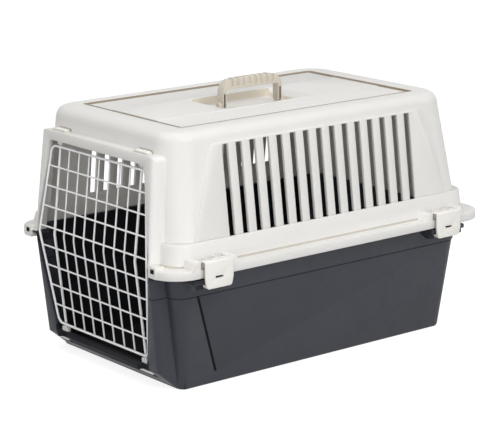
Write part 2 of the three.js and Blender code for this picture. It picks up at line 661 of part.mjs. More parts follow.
/** Ear for one end of the carry handle, just outside its leg, with the bore of its pin. */
function addHandleEar(cover, side) {
  const near = HANDLE_CENTRE_Y + side * (HANDLE_HALF_SPAN + HANDLE_EAR_GAP);
  const far = near + side * HANDLE_EAR_THICKNESS;
  const [from, to] = [Math.min(near, far), Math.max(near, far)];
  const ear = box([-HANDLE_EAR_RADIUS, from, POCKET_FLOOR - 1], [HANDLE_EAR_RADIUS, to, HANDLE_PIVOT_Z])
    .add(bar(HANDLE_EAR_RADIUS, 'y', from, to, 0, HANDLE_PIVOT_Z));
  return cover
    .add(ear)
    .subtract(bar(HANDLE_PIN_RADIUS + GAP, 'y', from - 1, to + 1, 0, HANDLE_PIVOT_Z, 16));
}

function buildCover() {
  const edge = RIM_EDGE_ROUND;
  const skirt = loft([
    rimRing(RIM_BOTTOM), rimRing(RIM_TOP - edge),
    rimRing(RIM_TOP - edge * 0.3, edge * 0.3), rimRing(RIM_TOP, edge),
  ]);
  const fillet = loft([
    bandRing(RIM_TOP - 1, -RIM_FILLET), bandRing(RIM_TOP, -RIM_FILLET),
    bandRing(RIM_TOP + RIM_FILLET * 0.12, -RIM_FILLET * 0.5),
    bandRing(RIM_TOP + RIM_FILLET * 0.4, -RIM_FILLET * 0.15),
    bandRing(RIM_TOP + RIM_FILLET * 0.9, 0),
  ]);
  const latchSeats = LATCH_CENTRES_Y.map((centreY) => both(latchSeat(centreY)));
  const outside = join(skirt, fillet, coverBody(0), above(surround, RIM_SEAT), ...latchSeats);

  // Hollow the cabin, the underside of the rim and the surround, and open the rim in front of the door.
  const inside = above(coverBody(WALL), RIM_BOTTOM - 1);
  const underRim = loft([rimRing(RIM_BOTTOM - 10, WALL), rimRing(RIM_SEAT, WALL)]);
  const [wide, narrow] = [SURROUND_HALF_MID + RIM_END_GAP - GAP, SURROUND_HALF_MID - GAP];
  const seatGap = box([-wide, -RIM_HALF_LENGTH - 5, RIM_BOTTOM - 5], [wide, BAND_FRONT + 20, RIM_SEAT]);
  const frontGap = box(
    [-narrow, -RIM_HALF_LENGTH - 5, RIM_BOTTOM - 5],
    [narrow, SURROUND_FRONT_MID, RIM_TOP + 1],
  );
  let cover = outside
    .subtract(panelPrism(0, PANEL_FLOOR, COVER_TOP + 1))
    .add(topStrip())
    .subtract(below(inside, CEILING))
    .add(panelGroove(WALL, PANEL_FLOOR - TOP_GROOVE_DEPTH - WALL, CEILING + 0.5))
    .subtract(panelGroove(0, PANEL_FLOOR - TOP_GROOVE_DEPTH, PANEL_FLOOR + 1))
    .subtract(underRim)
    .subtract(above(surroundHollow, RIM_BOTTOM))
    .subtract(seatGap)
    .subtract(frontGap)
    .add(above(openingLip, RIM_SEAT))
    .add(both(rimEnd(0, RIM_BOTTOM, RIM_TOP + RIM_END_RISE)))
    .subtract(both(rimHole()))
    .subtract(openingCut)
    .add(loft([pocketRing(POCKET_FLOOR, WALL), pocketRing(STRIP_TOP - 0.5, WALL)]).translate([0, 0, -WALL]))
    .subtract(loft([pocketRing(POCKET_FLOOR, 0), pocketRing(COVER_TOP + 2, 0)]));

  cover = addSidePanels(cover)
    .subtract(sliderGuide(SLIDER_PAD_WIDTH / 2, LINTEL_TOP - WALL - 2, SLIDER_PAD_TOP + SLIDER_RIDGE_SIZE))
    .subtract(sliderGuide(SLIDER_FORK_HALF_WIDTH, LINTEL_BOTTOM - 5, LINTEL_TOP - WALL));
  for (const centreY of LATCH_CENTRES_Y) cover = cover.subtract(both(latchPinBore(centreY)));
  for (const side of [-1, 1]) cover = addHandleEar(cover, side);
  return cover;
}

// ---------------------------------------------------------------- tub

function tubRing(z, inset = 0) {
  return roundedRing({
    z,
    halfWidth: TUB_BASE_HALF_WIDTH + TUB_DRAFT * z - inset,
    front: -TUB_BASE_HALF_LENGTH - TUB_DRAFT * z + inset,
    rear: TUB_BASE_HALF_LENGTH + TUB_DRAFT * z - inset,
    corner: Math.max(lerp(TUB_CORNER_BASE, TUB_CORNER_TOP, z / RIM_BOTTOM) - inset, 3),
  });
}

function buildTub() {
  const tubTop = RIM_SEAT - GAP;
  const rimInset = WALL + GAP;
  const body = loft([
    tubRing(0, TUB_EDGE_ROUND), tubRing(TUB_EDGE_ROUND * 0.3, TUB_EDGE_ROUND * 0.3), tubRing(TUB_EDGE_ROUND),
    tubRing(TUB_BAND_BOTTOM), tubRing(TUB_BAND_BOTTOM + 1, -TUB_BAND_PROUD), tubRing(tubTop, -TUB_BAND_PROUD),
  ]);
  const rim = loft([rimRing(tubTop - WALL, rimInset), rimRing(tubTop, rimInset)]);
  let tub = join(body, rim, below(surround, tubTop));

  // Catches under the rim, one behind each latch.
  const bracketRoot = TUB_BASE_HALF_WIDTH + BRACKET_ROOT;
  const catchShape = outline([
    [bracketRoot, BRACKET_FOOT + BRACKET_RISE], [BRACKET_FACE_X - BRACKET_LIP, BRACKET_FOOT],
    [BRACKET_FACE_X, BRACKET_FOOT],
    [BRACKET_FACE_X, CATCH_BOTTOM],
    [CATCH_FACE_X, CATCH_BOTTOM], [CATCH_FACE_X, CATCH_TOP], [BRACKET_FACE_X, CATCH_TOP],
    [BRACKET_FACE_X, tubTop - 1], [bracketRoot, tubTop - 1],
  ]);
  for (const centreY of LATCH_CENTRES_Y) {
    const outward = Math.sign(centreY);
    const ends = [
      centreY - outward * (LATCH_LENGTH / 2 + BRACKET_OVERHANG_INNER),
      centreY + outward * (LATCH_LENGTH / 2 + BRACKET_OVERHANG_OUTER),
    ];
    tub = tub.add(both(extrude(catchShape, 'y', Math.min(...ends), Math.max(...ends))));
  }

  // Bosses on the sill, ahead of the rods.
  const bossHalf = SILL_BOSS_WIDTH / 2;
  const bossBottom = SILL_FRONT_BOTTOM + 1;
  const bossTop = SILL_TOP - SILL_BOSS_DROP;
  const noseY = SURROUND_FRONT_SILL - SILL_BOSS_REACH + bossHalf;
  const boss = bar(bossHalf, 'z', bossBottom, bossTop, DOOR_AXIS_X, noseY).add(box(
    [DOOR_AXIS_X - bossHalf, noseY, bossBottom],
    [DOOR_AXIS_X + bossHalf, SURROUND_FRONT_SILL + 1, bossTop],
  ));

  const inside = loft([tubRing(WALL, WALL + 3), tubRing(WALL + 3, WALL), tubRing(tubTop + 5, WALL)]);
  tub = tub
    .subtract(inside)
    .subtract(below(surroundHollow, tubTop + 5))
    .add(below(openingLip, tubTop))
    .add(both(boss))
    .subtract(openingCut);

  // One slanted groove down each side, behind the front corner.
  const half = TUB_GROOVE_WIDTH / 2;
  const grooveTop = TUB_BAND_BOTTOM - 1;
  const groove = outline([
    [TUB_GROOVE_TOP_Y - half, grooveTop], [TUB_GROOVE_FOOT_Y - half, TUB_GROOVE_FOOT_Z],
    [TUB_GROOVE_FOOT_Y + half, TUB_GROOVE_FOOT_Z], [TUB_GROOVE_TOP_Y + half, grooveTop],
  ]);
  const grooveFloor = loft([tubRing(0, TUB_GROOVE_DEPTH), tubRing(RIM_BOTTOM, TUB_GROOVE_DEPTH)]);
  const grooveCut = extrude(groove, 'x', TUB_BASE_HALF_WIDTH / 2, RIM_HALF_WIDTH).subtract(grooveFloor);
  tub = tub.subtract(both(grooveCut));

  // Windows in the sill's underside for the feet of the rods' bushes.
  const footX = DOOR_AXIS_X + BUSH_FOOT_OFFSET;
  tub = tub.subtract(both(box(
    [footX - BUSH_FOOT_WIDTH / 2 - GAP, DOOR_AXIS_Y - BUSH_FOOT_DEPTH / 2 - GAP, SILL_FOOT],
    [footX + BUSH_FOOT_WIDTH / 2 + GAP, DOOR_AXIS_Y + BUSH_FOOT_DEPTH / 2 + GAP, SILL_TOP],
  )));

  // Room for the cover's rim ends.
  return tub.subtract(both(rimEnd(2 * GAP, RIM_BOTTOM - 3, tubTop + 1)));
}

// ---------------------------------------------------------------- door

/** Forward bulge of the door's plane at a height. */
function bulge(z) {
  const share = z < DOOR_BEND_Z ? (z - DOOR_BOTTOM) / (DOOR_BEND_Z - DOOR_BOTTOM)
    : (DOOR_TOP - z) / (DOOR_TOP - DOOR_BEND_Z);
  return DOOR_BULGE * THREE.MathUtils.clamp(share, 0, 1);
}

const CROSSBAR_LAYER = ROD_RADIUS + WIRE_RADIUS + GAP; // ahead of the rods
const UPRIGHT_LAYER = CROSSBAR_LAYER - 2 * WIRE_RADIUS - GAP;
const FRAME_LAYER = ROD_RADIUS + FRAME_RADIUS + GAP;
const doorPoint = (x, z, layer) => vec(x, DOOR_AXIS_Y - bulge(z) - layer, z);

function buildFrameWire() {
  const half = bend([
    doorPoint(-1, DOOR_TOP, FRAME_LAYER), doorPoint(FRAME_HALF_TOP, DOOR_TOP, FRAME_LAYER),
    doorPoint(FRAME_HALF_BEND, DOOR_BEND_Z, FRAME_LAYER),
    doorPoint(FRAME_HALF_BOTTOM, DOOR_BOTTOM, FRAME_LAYER), doorPoint(-1, DOOR_BOTTOM, FRAME_LAYER),
  ], FRAME_CORNER);
  return both(wire(half, FRAME_RADIUS, 10));
}

const buildRod = () => wire(bend([
  vec(0, 0, ROD_BOTTOM_END), vec(0, 0, DOOR_BOTTOM), vec(0, -DOOR_BULGE, DOOR_BEND_Z),
  vec(0, 0, DOOR_TOP), vec(0, 0, ROD_TOP_END),
], FRAME_CORNER / 2), ROD_RADIUS, 10);

const buildUpright = () => wire(bend([
  vec(0, -bulge(DOOR_BOTTOM) - UPRIGHT_LAYER, DOOR_BOTTOM - FRAME_RADIUS),
  vec(0, -DOOR_BULGE - UPRIGHT_LAYER, DOOR_BEND_Z),
  vec(0, -bulge(DOOR_TOP) - UPRIGHT_LAYER, DOOR_TOP + FRAME_RADIUS),
], DOOR_BEND_RADIUS), WIRE_RADIUS);

/** Half width of the frame wire's centre line at a height. */
function frameHalf(z) {
  return z < DOOR_BEND_Z
    ? lerp(FRAME_HALF_BOTTOM, FRAME_HALF_BEND, (z - DOOR_BOTTOM) / (DOOR_BEND_Z - DOOR_BOTTOM))
    : lerp(FRAME_HALF_TOP, FRAME_HALF_BEND, (DOOR_TOP - z) / (DOOR_TOP - DOOR_BEND_Z));
}

function buildCrossbar(z) {
  const reach = frameHalf(z) - FRAME_RADIUS - GAP;
  return bar(WIRE_RADIUS, 'x', -reach, reach, 0, 0, 8);
}

// ---------------------------------------------------------------- small fittings

/** An upright channel round a rod, open to the front. */
const rodChannel = (from, to) => bar(ROD_RADIUS + ROD_BORE_CLEARANCE, 'z', from, to, 0, 0, 16)
  .add(box([-ROD_RADIUS - ROD_BORE_CLEARANCE, -20, from], [ROD_RADIUS + ROD_BORE_CLEARANCE, 0, to]));

/** Slider over the top of a rod, in the rod's own frame. */
function buildSlider() {
  const front = -SLIDER_PAD_FRONT;
  const back = front + SLIDER_PAD_DEPTH;
  const half = SLIDER_PAD_WIDTH / 2;
  const pad = box([-half, front, SLIDER_PAD_BOTTOM], [half, back, SLIDER_PAD_TOP]);
  const fork = box([-SLIDER_FORK_HALF_WIDTH, front, SLIDER_FORK_BOTTOM],
    [SLIDER_FORK_HALF_WIDTH, back - 1, SLIDER_PAD_BOTTOM + 1]);
  const ridges = Array.from({ length: SLIDER_RIDGES }, (_, i) => {
    const x = (i - (SLIDER_RIDGES - 1) / 2) * half * 0.36;
    return box([x - SLIDER_RIDGE_SIZE / 2, front, SLIDER_PAD_TOP - 1],
      [x + SLIDER_RIDGE_SIZE / 2, back, SLIDER_PAD_TOP + SLIDER_RIDGE_SIZE]);
  });
  return join(pad, fork, ...ridges)
    .subtract(rodChannel(SLIDER_FORK_BOTTOM - 1, ROD_TOP_END + ROD_BORE_CLEARANCE));
}

/** Bearing of a rod's lower end, in the rod's own frame; side is +1 or -1. */
function buildBush(side) {
  const collar = bar(BUSH_RADIUS, 'z', BUSH_FOOT_TOP - 0.5, BUSH_TOP, 0, 0)
    .intersect(box([-BUSH_RADIUS, -BUSH_FOOT_DEPTH / 2, 0], [BUSH_RADIUS, BUSH_RADIUS, BUSH_TOP]));
  const centre = side * BUSH_FOOT_OFFSET;
  const foot = box([centre - BUSH_FOOT_WIDTH / 2, -BUSH_FOOT_DEPTH / 2, BUSH_FOOT_BOTTOM],
    [centre + BUSH_FOOT_WIDTH / 2, BUSH_FOOT_DEPTH / 2, BUSH_FOOT_TOP]);
  return join(collar, foot).subtract(rodChannel(ROD_BOTTOM_END - ROD_BORE_CLEARANCE, BUSH_TOP + 1));
}

/** Latch on the +X side, in a frame at its pivot's middle. */
function buildLatch() {
  const [px, pz] = [LATCH_PIVOT_X, LATCH_PIVOT_Z];
  const half = LATCH_LENGTH / 2;
  const inner = LATCH_FACE_X - LATCH_PLATE;
  const hookTip = inner - LATCH_HOOK_REACH;
  const section = outline([
    [-2, LATCH_BARREL_RADIUS], [LATCH_FACE_X - px, LATCH_TOP - pz, 2.5],
    [LATCH_FACE_X - px, LATCH_BOTTOM - pz, 1.5], [hookTip - px, LATCH_BOTTOM - pz, 1],
    [hookTip - px, LATCH_HOOK_TOP - pz - 1.5], [hookTip - px + 1.5, LATCH_HOOK_TOP - pz],
    [inner - px, LATCH_HOOK_TOP - pz], [inner - px, -1, 2], [0, -1],
  ]);
  const [top, foot] = [LATCH_TOP - pz + 1, LATCH_BOTTOM - pz];
  const waist = LATCH_HOOK_TOP - pz + 8; // the plate narrows below this height
  const face = outline([
    [-half, top], [-half, waist], [-half + LATCH_TAPER, foot, LATCH_CORNER],
    [half - LATCH_TAPER, foot, LATCH_CORNER], [half, waist], [half, top],
  ]);
  let latch = extrude(section, 'y', -half, half)
    .intersect(extrude(face, 'x', -20, 40))
    .add(bar(LATCH_BARREL_RADIUS, 'y', -half, half, 0, 0));
  for (const side of [-1, 1]) {
    const notch = KNUCKLE_RIB / 2 + GAP;
    const y = side * KNUCKLE_OFFSET;
    latch = latch.subtract(box([-20, y - notch, -8], [EAR_TOP - pz + 1, y + notch, 8]));
  }
  const slotZ = LATCH_SLOT_Z - pz;
  return latch
    .subtract(bar(LATCH_PIN_RADIUS + GAP, 'y', -half - 1, half + 1, 0, 0, 16))
    .subtract(box([0, -LATCH_SLOT_LENGTH / 2, slotZ - LATCH_SLOT_HEIGHT / 2],
      [40, LATCH_SLOT_LENGTH / 2, slotZ + LATCH_SLOT_HEIGHT / 2]));
}

/** Where the finger grooves lie along the grip. */
const handleGrooves = Array.from({ length: HANDLE_GROOVES },
  (_, i) => (i - (HANDLE_GROOVES - 1) / 2) * HANDLE_GROOVE_PITCH);

/** Carry handle, in a frame at its pivot. */
function buildHandle() {
  const top = HANDLE_TOP - HANDLE_PIVOT_Z;
  const depth = HANDLE_HALF_DEPTH;
  const span = HANDLE_HALF_SPAN;
  const reach = span - HANDLE_LEG;
  const bow = outline([
    [-span, -depth - 1], [-reach, -depth - 1], [-reach, top - HANDLE_GRIP, 5], [reach, top - HANDLE_GRIP, 5],
    [reach, -depth - 1], [span, -depth - 1], [span, top - HANDLE_CROWN, HANDLE_SHOULDER],
    [0, top + HANDLE_CROWN, span], [-span, top - HANDLE_CROWN, HANDLE_SHOULDER],
  ]);
  const side = outline([
    [-depth, 0], [depth, 0], [depth, top, HANDLE_EDGE], [-depth, top, HANDLE_EDGE],
  ]);
  const profile = extrude(side, 'y', -span - 1, span + 1).add(bar(depth, 'y', -span - 1, span + 1, 0, 0));
  let handle = extrude(bow, 'x', -depth, depth).intersect(profile);
  const sky = top + 2 * HANDLE_CROWN;
  const sunk = extrude(bow, 'x', -depth - 2, depth + 2).translate([0, 0, -HANDLE_GROOVE_WRAP]);
  for (const y of handleGrooves) {
    const slice = box(
      [-depth - 1, y - HANDLE_GROOVE_WIDTH / 2, top - HANDLE_GRIP / 2],
      [depth + 1, y + HANDLE_GROOVE_WIDTH / 2, sky],
    );
    handle = handle.subtract(slice.subtract(sunk));
  }
  for (const face of [-1, 1]) {
    const outside = face * (depth + 1);
    const cut = (deep, y, width, bottom, ceiling) => box(
      [Math.min(deep, outside), y - width / 2, bottom],
      [Math.max(deep, outside), y + width / 2, ceiling],
    );
    const grooveFloor = face * (depth - HANDLE_GROOVE_DEPTH);
    for (const y of handleGrooves) {
      const groove = cut(grooveFloor, y, HANDLE_GROOVE_WIDTH, top - HANDLE_GRIP + HANDLE_RAIL, sky);
      handle = handle.subtract(groove);
    }
    const slotFloor = face * (depth - HANDLE_LEG_SLOT_DEPTH);
    for (const end of [-1, 1]) {
      const y = end * (span - HANDLE_LEG / 2);
      handle = handle.subtract(cut(slotFloor, y, HANDLE_LEG_SLOT, -2, top - HANDLE_SHOULDER));
    }
  }
  return handle.subtract(bar(HANDLE_PIN_RADIUS + GAP, 'y', -span - 2, span + 2, 0, 0, 16));
}

// ---------------------------------------------------------------- materials and assembly

const plastic = (color, roughness = 0.45) => new THREE.MeshStandardMaterial({ color, roughness, metalness: 0 });
const coverPlastic = plastic(0xe6e3dc);
const tubPlastic = plastic(0x3c3f47, 0.55);
const fittingPlastic = plastic(0xf1eee8, 0.4);
const handlePlastic = plastic(0xcfc7bb);
const pinPlastic = plastic(0xd9d5cc);
const doorWire = new THREE.MeshStandardMaterial({ color: 0xf2f2f4, roughness: 0.3, metalness: 0.15 });

const carrier = new THREE.Group();
carrier.name = 'pet_transport_carrier';

/** Add a named mesh of a solid to a parent at a place. */
function addPart(parent, name, body, material, [x, y, z] = [0, 0, 0]) {
  const mesh = new THREE.Mesh(geometryOf(body), material);
  mesh.name = name;
  mesh.position.set(x, y, z);
  parent.add(mesh);
  return mesh;
}

addPart(carrier, 'bottom_shell', buildTub(), tubPlastic);
addPart(carrier, 'top_shell', buildCover(), coverPlastic);

const handleGroup = new THREE.Group();
handleGroup.position.set(0, HANDLE_CENTRE_Y, HANDLE_PIVOT_Z);
carrier.add(handleGroup);
addPart(handleGroup, 'carry_handle', buildHandle(), handlePlastic);
for (const [end, side] of [['front', -1], ['rear', 1]]) {
  const inner = side * (HANDLE_HALF_SPAN - HANDLE_LEG);
  const outer = side * (HANDLE_HALF_SPAN + HANDLE_EAR_GAP + HANDLE_EAR_THICKNESS);
  const pin = bar(HANDLE_PIN_RADIUS, 'y', Math.min(inner, outer), Math.max(inner, outer), 0, 0, 16);
  addPart(handleGroup, `handle_pivot_pin_${end}`, pin, pinPlastic);
}

const latchBody = buildLatch();
const latchPin = bar(LATCH_PIN_RADIUS, 'y', -latchPinHalf, latchPinHalf, 0, 0, 16);
for (const [end, centreY] of [['front', LATCH_CENTRES_Y[0]], ['rear', LATCH_CENTRES_Y[1]]]) {
  for (const [side, sign] of [['right', 1], ['left', -1]]) {
    const place = [sign * LATCH_PIVOT_X, centreY, LATCH_PIVOT_Z];
    const body = sign > 0 ? latchBody : mirrorX(latchBody);
    addPart(carrier, `side_latch_${end}_${side}`, body, fittingPlastic, place);
    addPart(carrier, `latch_hinge_pin_${end}_${side}`, latchPin, pinPlastic, place);
  }
}

const door = new THREE.Group();
carrier.add(door);
addPart(door, 'door_frame', buildFrameWire(), doorWire);
const rod = buildRod();
addPart(door, 'door_rod_left', rod, doorWire, [-DOOR_AXIS_X, DOOR_AXIS_Y, 0]);
addPart(door, 'door_rod_right', rod, doorWire, [DOOR_AXIS_X, DOOR_AXIS_Y, 0]);
const upright = buildUpright();
const uprightPitch = 2 * DOOR_AXIS_X / (UPRIGHT_COUNT + 1);
for (let i = 1; i <= UPRIGHT_COUNT; i++) {
  addPart(door, `door_upright_${i}`, upright, doorWire, [-DOOR_AXIS_X + i * uprightPitch, DOOR_AXIS_Y, 0]);
}
for (let i = 1; i <= CROSSBAR_COUNT; i++) {
  const z = CROSSBAR_FIRST + (i - 1) * CROSSBAR_PITCH;
  const place = doorPoint(0, z, CROSSBAR_LAYER);
  addPart(door, `door_crossbar_${i}`, buildCrossbar(z), doorWire, [place.x, place.y, place.z]);
}
for (const [side, sign] of [['left', -1], ['right', 1]]) {
  const place = [sign * DOOR_AXIS_X, DOOR_AXIS_Y, 0];
  addPart(carrier, `door_slider_${side}`, buildSlider(), fittingPlastic, place);
  addPart(carrier, `door_pin_bush_${side}`, buildBush(sign), fittingPlastic, place);
}

export default carrier;
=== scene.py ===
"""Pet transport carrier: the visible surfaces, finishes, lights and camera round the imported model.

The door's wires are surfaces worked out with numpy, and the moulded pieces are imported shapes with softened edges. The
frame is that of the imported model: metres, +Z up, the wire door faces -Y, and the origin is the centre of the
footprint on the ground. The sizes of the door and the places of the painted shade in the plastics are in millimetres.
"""

from __future__ import annotations

import json
import logging
import math
from dataclasses import dataclass
from typing import Optional, Sequence, Union

import bmesh
import bpy
import numpy as np
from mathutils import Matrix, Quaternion, Vector

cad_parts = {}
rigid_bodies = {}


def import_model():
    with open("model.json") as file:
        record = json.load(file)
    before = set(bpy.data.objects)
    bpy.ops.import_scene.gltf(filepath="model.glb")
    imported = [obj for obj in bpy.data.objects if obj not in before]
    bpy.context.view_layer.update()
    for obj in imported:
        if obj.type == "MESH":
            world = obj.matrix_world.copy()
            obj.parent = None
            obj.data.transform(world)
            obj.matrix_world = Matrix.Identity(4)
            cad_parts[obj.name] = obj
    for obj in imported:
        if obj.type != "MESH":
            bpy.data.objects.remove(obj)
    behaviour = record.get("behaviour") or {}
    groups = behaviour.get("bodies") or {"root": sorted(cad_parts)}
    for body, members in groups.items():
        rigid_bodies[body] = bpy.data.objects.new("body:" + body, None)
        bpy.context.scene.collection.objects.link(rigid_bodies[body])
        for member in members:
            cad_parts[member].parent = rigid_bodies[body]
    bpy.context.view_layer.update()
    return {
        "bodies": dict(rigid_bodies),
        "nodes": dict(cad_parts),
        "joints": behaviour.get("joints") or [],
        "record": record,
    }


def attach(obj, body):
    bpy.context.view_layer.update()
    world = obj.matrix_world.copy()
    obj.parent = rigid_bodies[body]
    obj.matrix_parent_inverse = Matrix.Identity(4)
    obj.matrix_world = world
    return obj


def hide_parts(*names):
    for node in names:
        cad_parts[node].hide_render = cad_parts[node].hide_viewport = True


log = logging.getLogger("carrier")
logging.basicConfig(level=logging.INFO, format="%(message)s")

MM = 0.001
Array = np.ndarray


# --------------------------------------------------------------------------- shader expressions


class Wire:
    """A shader socket, or a plain number, that takes part in Python expressions."""

    def __init__(self, tree: bpy.types.NodeTree, value: Union[bpy.types.NodeSocket, float]) -> None:
        """Wrap a value of a node tree.

        Args:
            tree: The node tree that new Math nodes go into.
            value: An output socket or a number.
        """
        self.tree = tree
        self.value = value

    def _math(self, operation: str, *others: Union["Wire", float]) -> "Wire":
        """Add one Math node over this value and others.

        Args:
            operation: The Math node's operation.
            others: Further operands.

        Returns:
            The node's output.
        """
        node = self.tree.nodes.new("ShaderNodeMath")
        node.operation = operation
        for socket, operand in zip(node.inputs, (self, *others)):
            feed(self.tree, socket, operand)
        return Wire(self.tree, node.outputs[0])

    def __add__(self, other: Union["Wire", float]) -> "Wire":
        """Sum."""
        return self._math("ADD", other)

    __radd__ = __add__

    def __mul__(self, other: Union["Wire", float]) -> "Wire":
        """Product."""
        return self._math("MULTIPLY", other)

    __rmul__ = __mul__

    def __sub__(self, other: Union["Wire", float]) -> "Wire":
        """Difference."""
        return self._math("SUBTRACT", other)

    def __rsub__(self, other: float) -> "Wire":
        """A number less this value."""
        return Wire(self.tree, other)._math("SUBTRACT", self)

    def __pow__(self, power: float) -> "Wire":
        """This value raised to a power."""
        return self._math("POWER", power)

    def absolute(self) -> "Wire":
        """This value without its sign."""
        return self._math("ABSOLUTE")

    def above(self, other: Union["Wire", float]) -> "Wire":
        """The larger of this value and another."""
        return self._math("MAXIMUM", other)

    def below(self, other: Union["Wire", float]) -> "Wire":
        """The smaller of this value and another."""
        return self._math("MINIMUM", other)

    def fraction(self) -> "Wire":
        """What is left of this value above the whole number under it."""
        return self._math("FRACT")

    def clamp(self, low: float = 0.0, high: float = 1.0) -> "Wire":
        """This value kept between two limits."""
        return self.above(low).below(high)

    def between(self, low: Union["Wire", float], high: Union["Wire", float], soft: float) -> "Wire":
        """1 between two limits and 0 outside them, with soft edges."""
        return ((self - low) * (1.0 / soft) + 0.5).clamp() * ((high - self) * (1.0 / soft) + 0.5).clamp()

    def ramp(self, start: float, end: float) -> "Wire":
        """0 at start, 1 at end and straight between them, held beyond both."""
        return ((self - start) * (1.0 / (end - start))).clamp()


def feed(tree: bpy.types.NodeTree, socket: bpy.types.NodeSocket, operand: object) -> None:
    """Link or set one input socket.

    Args:
        tree: The node tree.
        socket: The input to fill.
        operand: A Wire, a socket, a number or a tuple.
    """
    value = operand.value if isinstance(operand, Wire) else operand
    if isinstance(value, bpy.types.NodeSocket):
        tree.links.new(value, socket)
    else:
        socket.default_value = value


class Shader:
    """A material under construction: a Principled surface and the nodes that feed it."""

    def __init__(self, name: str) -> None:
        """Start an empty material.

        Args:
            name: The material's name.
        """
        self.material = bpy.data.materials.new(name)
        self.material.use_nodes = True
        self.tree = self.material.node_tree
        self.surface = self.tree.nodes["Principled BSDF"]
        self.place = self.node("ShaderNodeTexCoord").outputs["Object"]

    def node(self, kind: str, settings: Optional[dict] = None, **sockets: object) -> bpy.types.Node:
        """Add a node, with its settings made first and its sockets filled after.

        Args:
            kind: The node's type name.
            settings: Properties of the node, by name.
            sockets: Values or links of its inputs, with underscores for spaces.

        Returns:
            The node.
        """
        made = self.tree.nodes.new(kind)
        for key, value in (settings or {}).items():
            setattr(made, key, value)
        for key, value in sockets.items():
            feed(self.tree, made.inputs[key.replace("_", " ")], value)
        return made

    def axes(self) -> tuple[Wire, Wire, Wire]:
        """The place on the piece along X, Y and Z, in millimetres."""
        split = self.node("ShaderNodeSeparateXYZ", None, Vector=self.place)
        return tuple(self.wire(split.outputs[axis]) * (1 / MM) for axis in "XYZ")

    def wire(self, socket: bpy.types.NodeSocket) -> Wire:
        """Wrap a socket for expressions."""
        return Wire(self.tree, socket)

    def noise(self, size: float, detail: float = 3.0, roughness: float = 0.55) -> Wire:
        """Cloudy noise with a grain of a given size in metres."""
        made = self.node("ShaderNodeTexNoise", None, Vector=self.place, Scale=1.0 / size,
                         Detail=detail, Roughness=roughness)
        return self.wire(made.outputs["Fac"])

    def mix(self, mask: Wire, low: Sequence[float], high: Sequence[float]) -> bpy.types.NodeSocket:
        """Blend two colours by a mask.

        Args:
            mask: 0 gives low and 1 gives high.
            low: A colour of three numbers.
            high: A colour of three numbers.

        Returns:
            The blended colour.
        """
        made = self.node("ShaderNodeMix", {"data_type": "RGBA"})
        feed(self.tree, made.inputs[0], mask)
        made.inputs[6].default_value = (*low, 1.0)
        made.inputs[7].default_value = (*high, 1.0)
        return made.outputs[2]

    def tint(self, colour: bpy.types.NodeSocket, mask: Wire, tint: Sequence[float]) -> bpy.types.NodeSocket:
        """Multiply a colour by a tint where a mask is 1.

        Args:
            colour: The colour to change.
            mask: Where the tint lies, from 0 to 1.
            tint: A colour of three numbers.

        Returns:
            The tinted colour.
        """
        made = self.node("ShaderNodeMix", {"data_type": "RGBA", "blend_type": "MULTIPLY"})
        feed(self.tree, made.inputs[0], mask)
        feed(self.tree, made.inputs[6], colour)
        made.inputs[7].default_value = (*tint, 1.0)
        return made.outputs[2]

    def set(self, socket: str, value: object) -> None:
        """Fill one input of the surface."""
        feed(self.tree, self.surface.inputs[socket], value)

    def bump(self, height: Wire, distance: float, strength: float = 1.0) -> None:
        """Let a height in metres' fraction tilt the surface's normals."""
        made = self.node("ShaderNodeBump", None, Height=height, Distance=distance, Strength=strength)
        self.set("Normal", made.outputs["Normal"])


@dataclass(frozen=True)
class Recess:
    """A block of space, alike on both sides, in which a plastic gets painted shade, as in a slot or a pocket."""

    low: tuple[float, float, float]
    high: tuple[float, float, float]
    tint: tuple[float, float, float]
    soft: float = 0.4
    flare: float = 0.0
    lean: float = 0.0
    rough: float = 0.0

    def mask(self, shader: Shader) -> Wire:
        """1 in the block: X unsigned and wider with height by the flare, Y tilted with height by the lean.

        Args:
            shader: The material under construction.

        Returns:
            The mask, from 0 to 1.
        """
        x, y, z = shader.axes()
        across = (x.absolute() - z * self.flare).between(self.low[0], self.high[0], self.soft)
        along = (y + z * self.lean).between(self.low[1], self.high[1], self.soft)
        return across * along * z.between(self.low[2], self.high[2], self.soft)


@dataclass(frozen=True)
class Channel:
    """A band of painted shade just inside a rounded rectangle, such as the channel that frames the top panel."""

    half_width: float = 122.76
    front: float = -222.15
    rear: float = 215.39
    corner: float = 7.0
    width: float = 5.0
    top: float = 368.5
    foot: float = 363.5
    tint: tuple[float, float, float] = (0.46, 0.40, 0.32)
    spill: float = 0.3
    soft: float = 0.5
    rough: float = 0.2

    def mask(self, shader: Shader) -> Wire:
        """1 in the band: the distance to the rounded rectangle is from minus its width to the spill.

        Args:
            shader: The material under construction.

        Returns:
            The mask, from 0 to 1.
        """
        x, y, z = shader.axes()
        middle, half_length = (self.front + self.rear) / 2, (self.rear - self.front) / 2
        across = x.absolute() - (self.half_width - self.corner)
        along = (y - middle).absolute() - (half_length - self.corner)
        corner = (across.above(0.0) ** 2 + along.above(0.0) ** 2) ** 0.5
        distance = corner + across.above(along).below(0.0) - self.corner
        return distance.between(-self.width, self.spill, self.soft) * z.between(self.foot, self.top, self.soft)


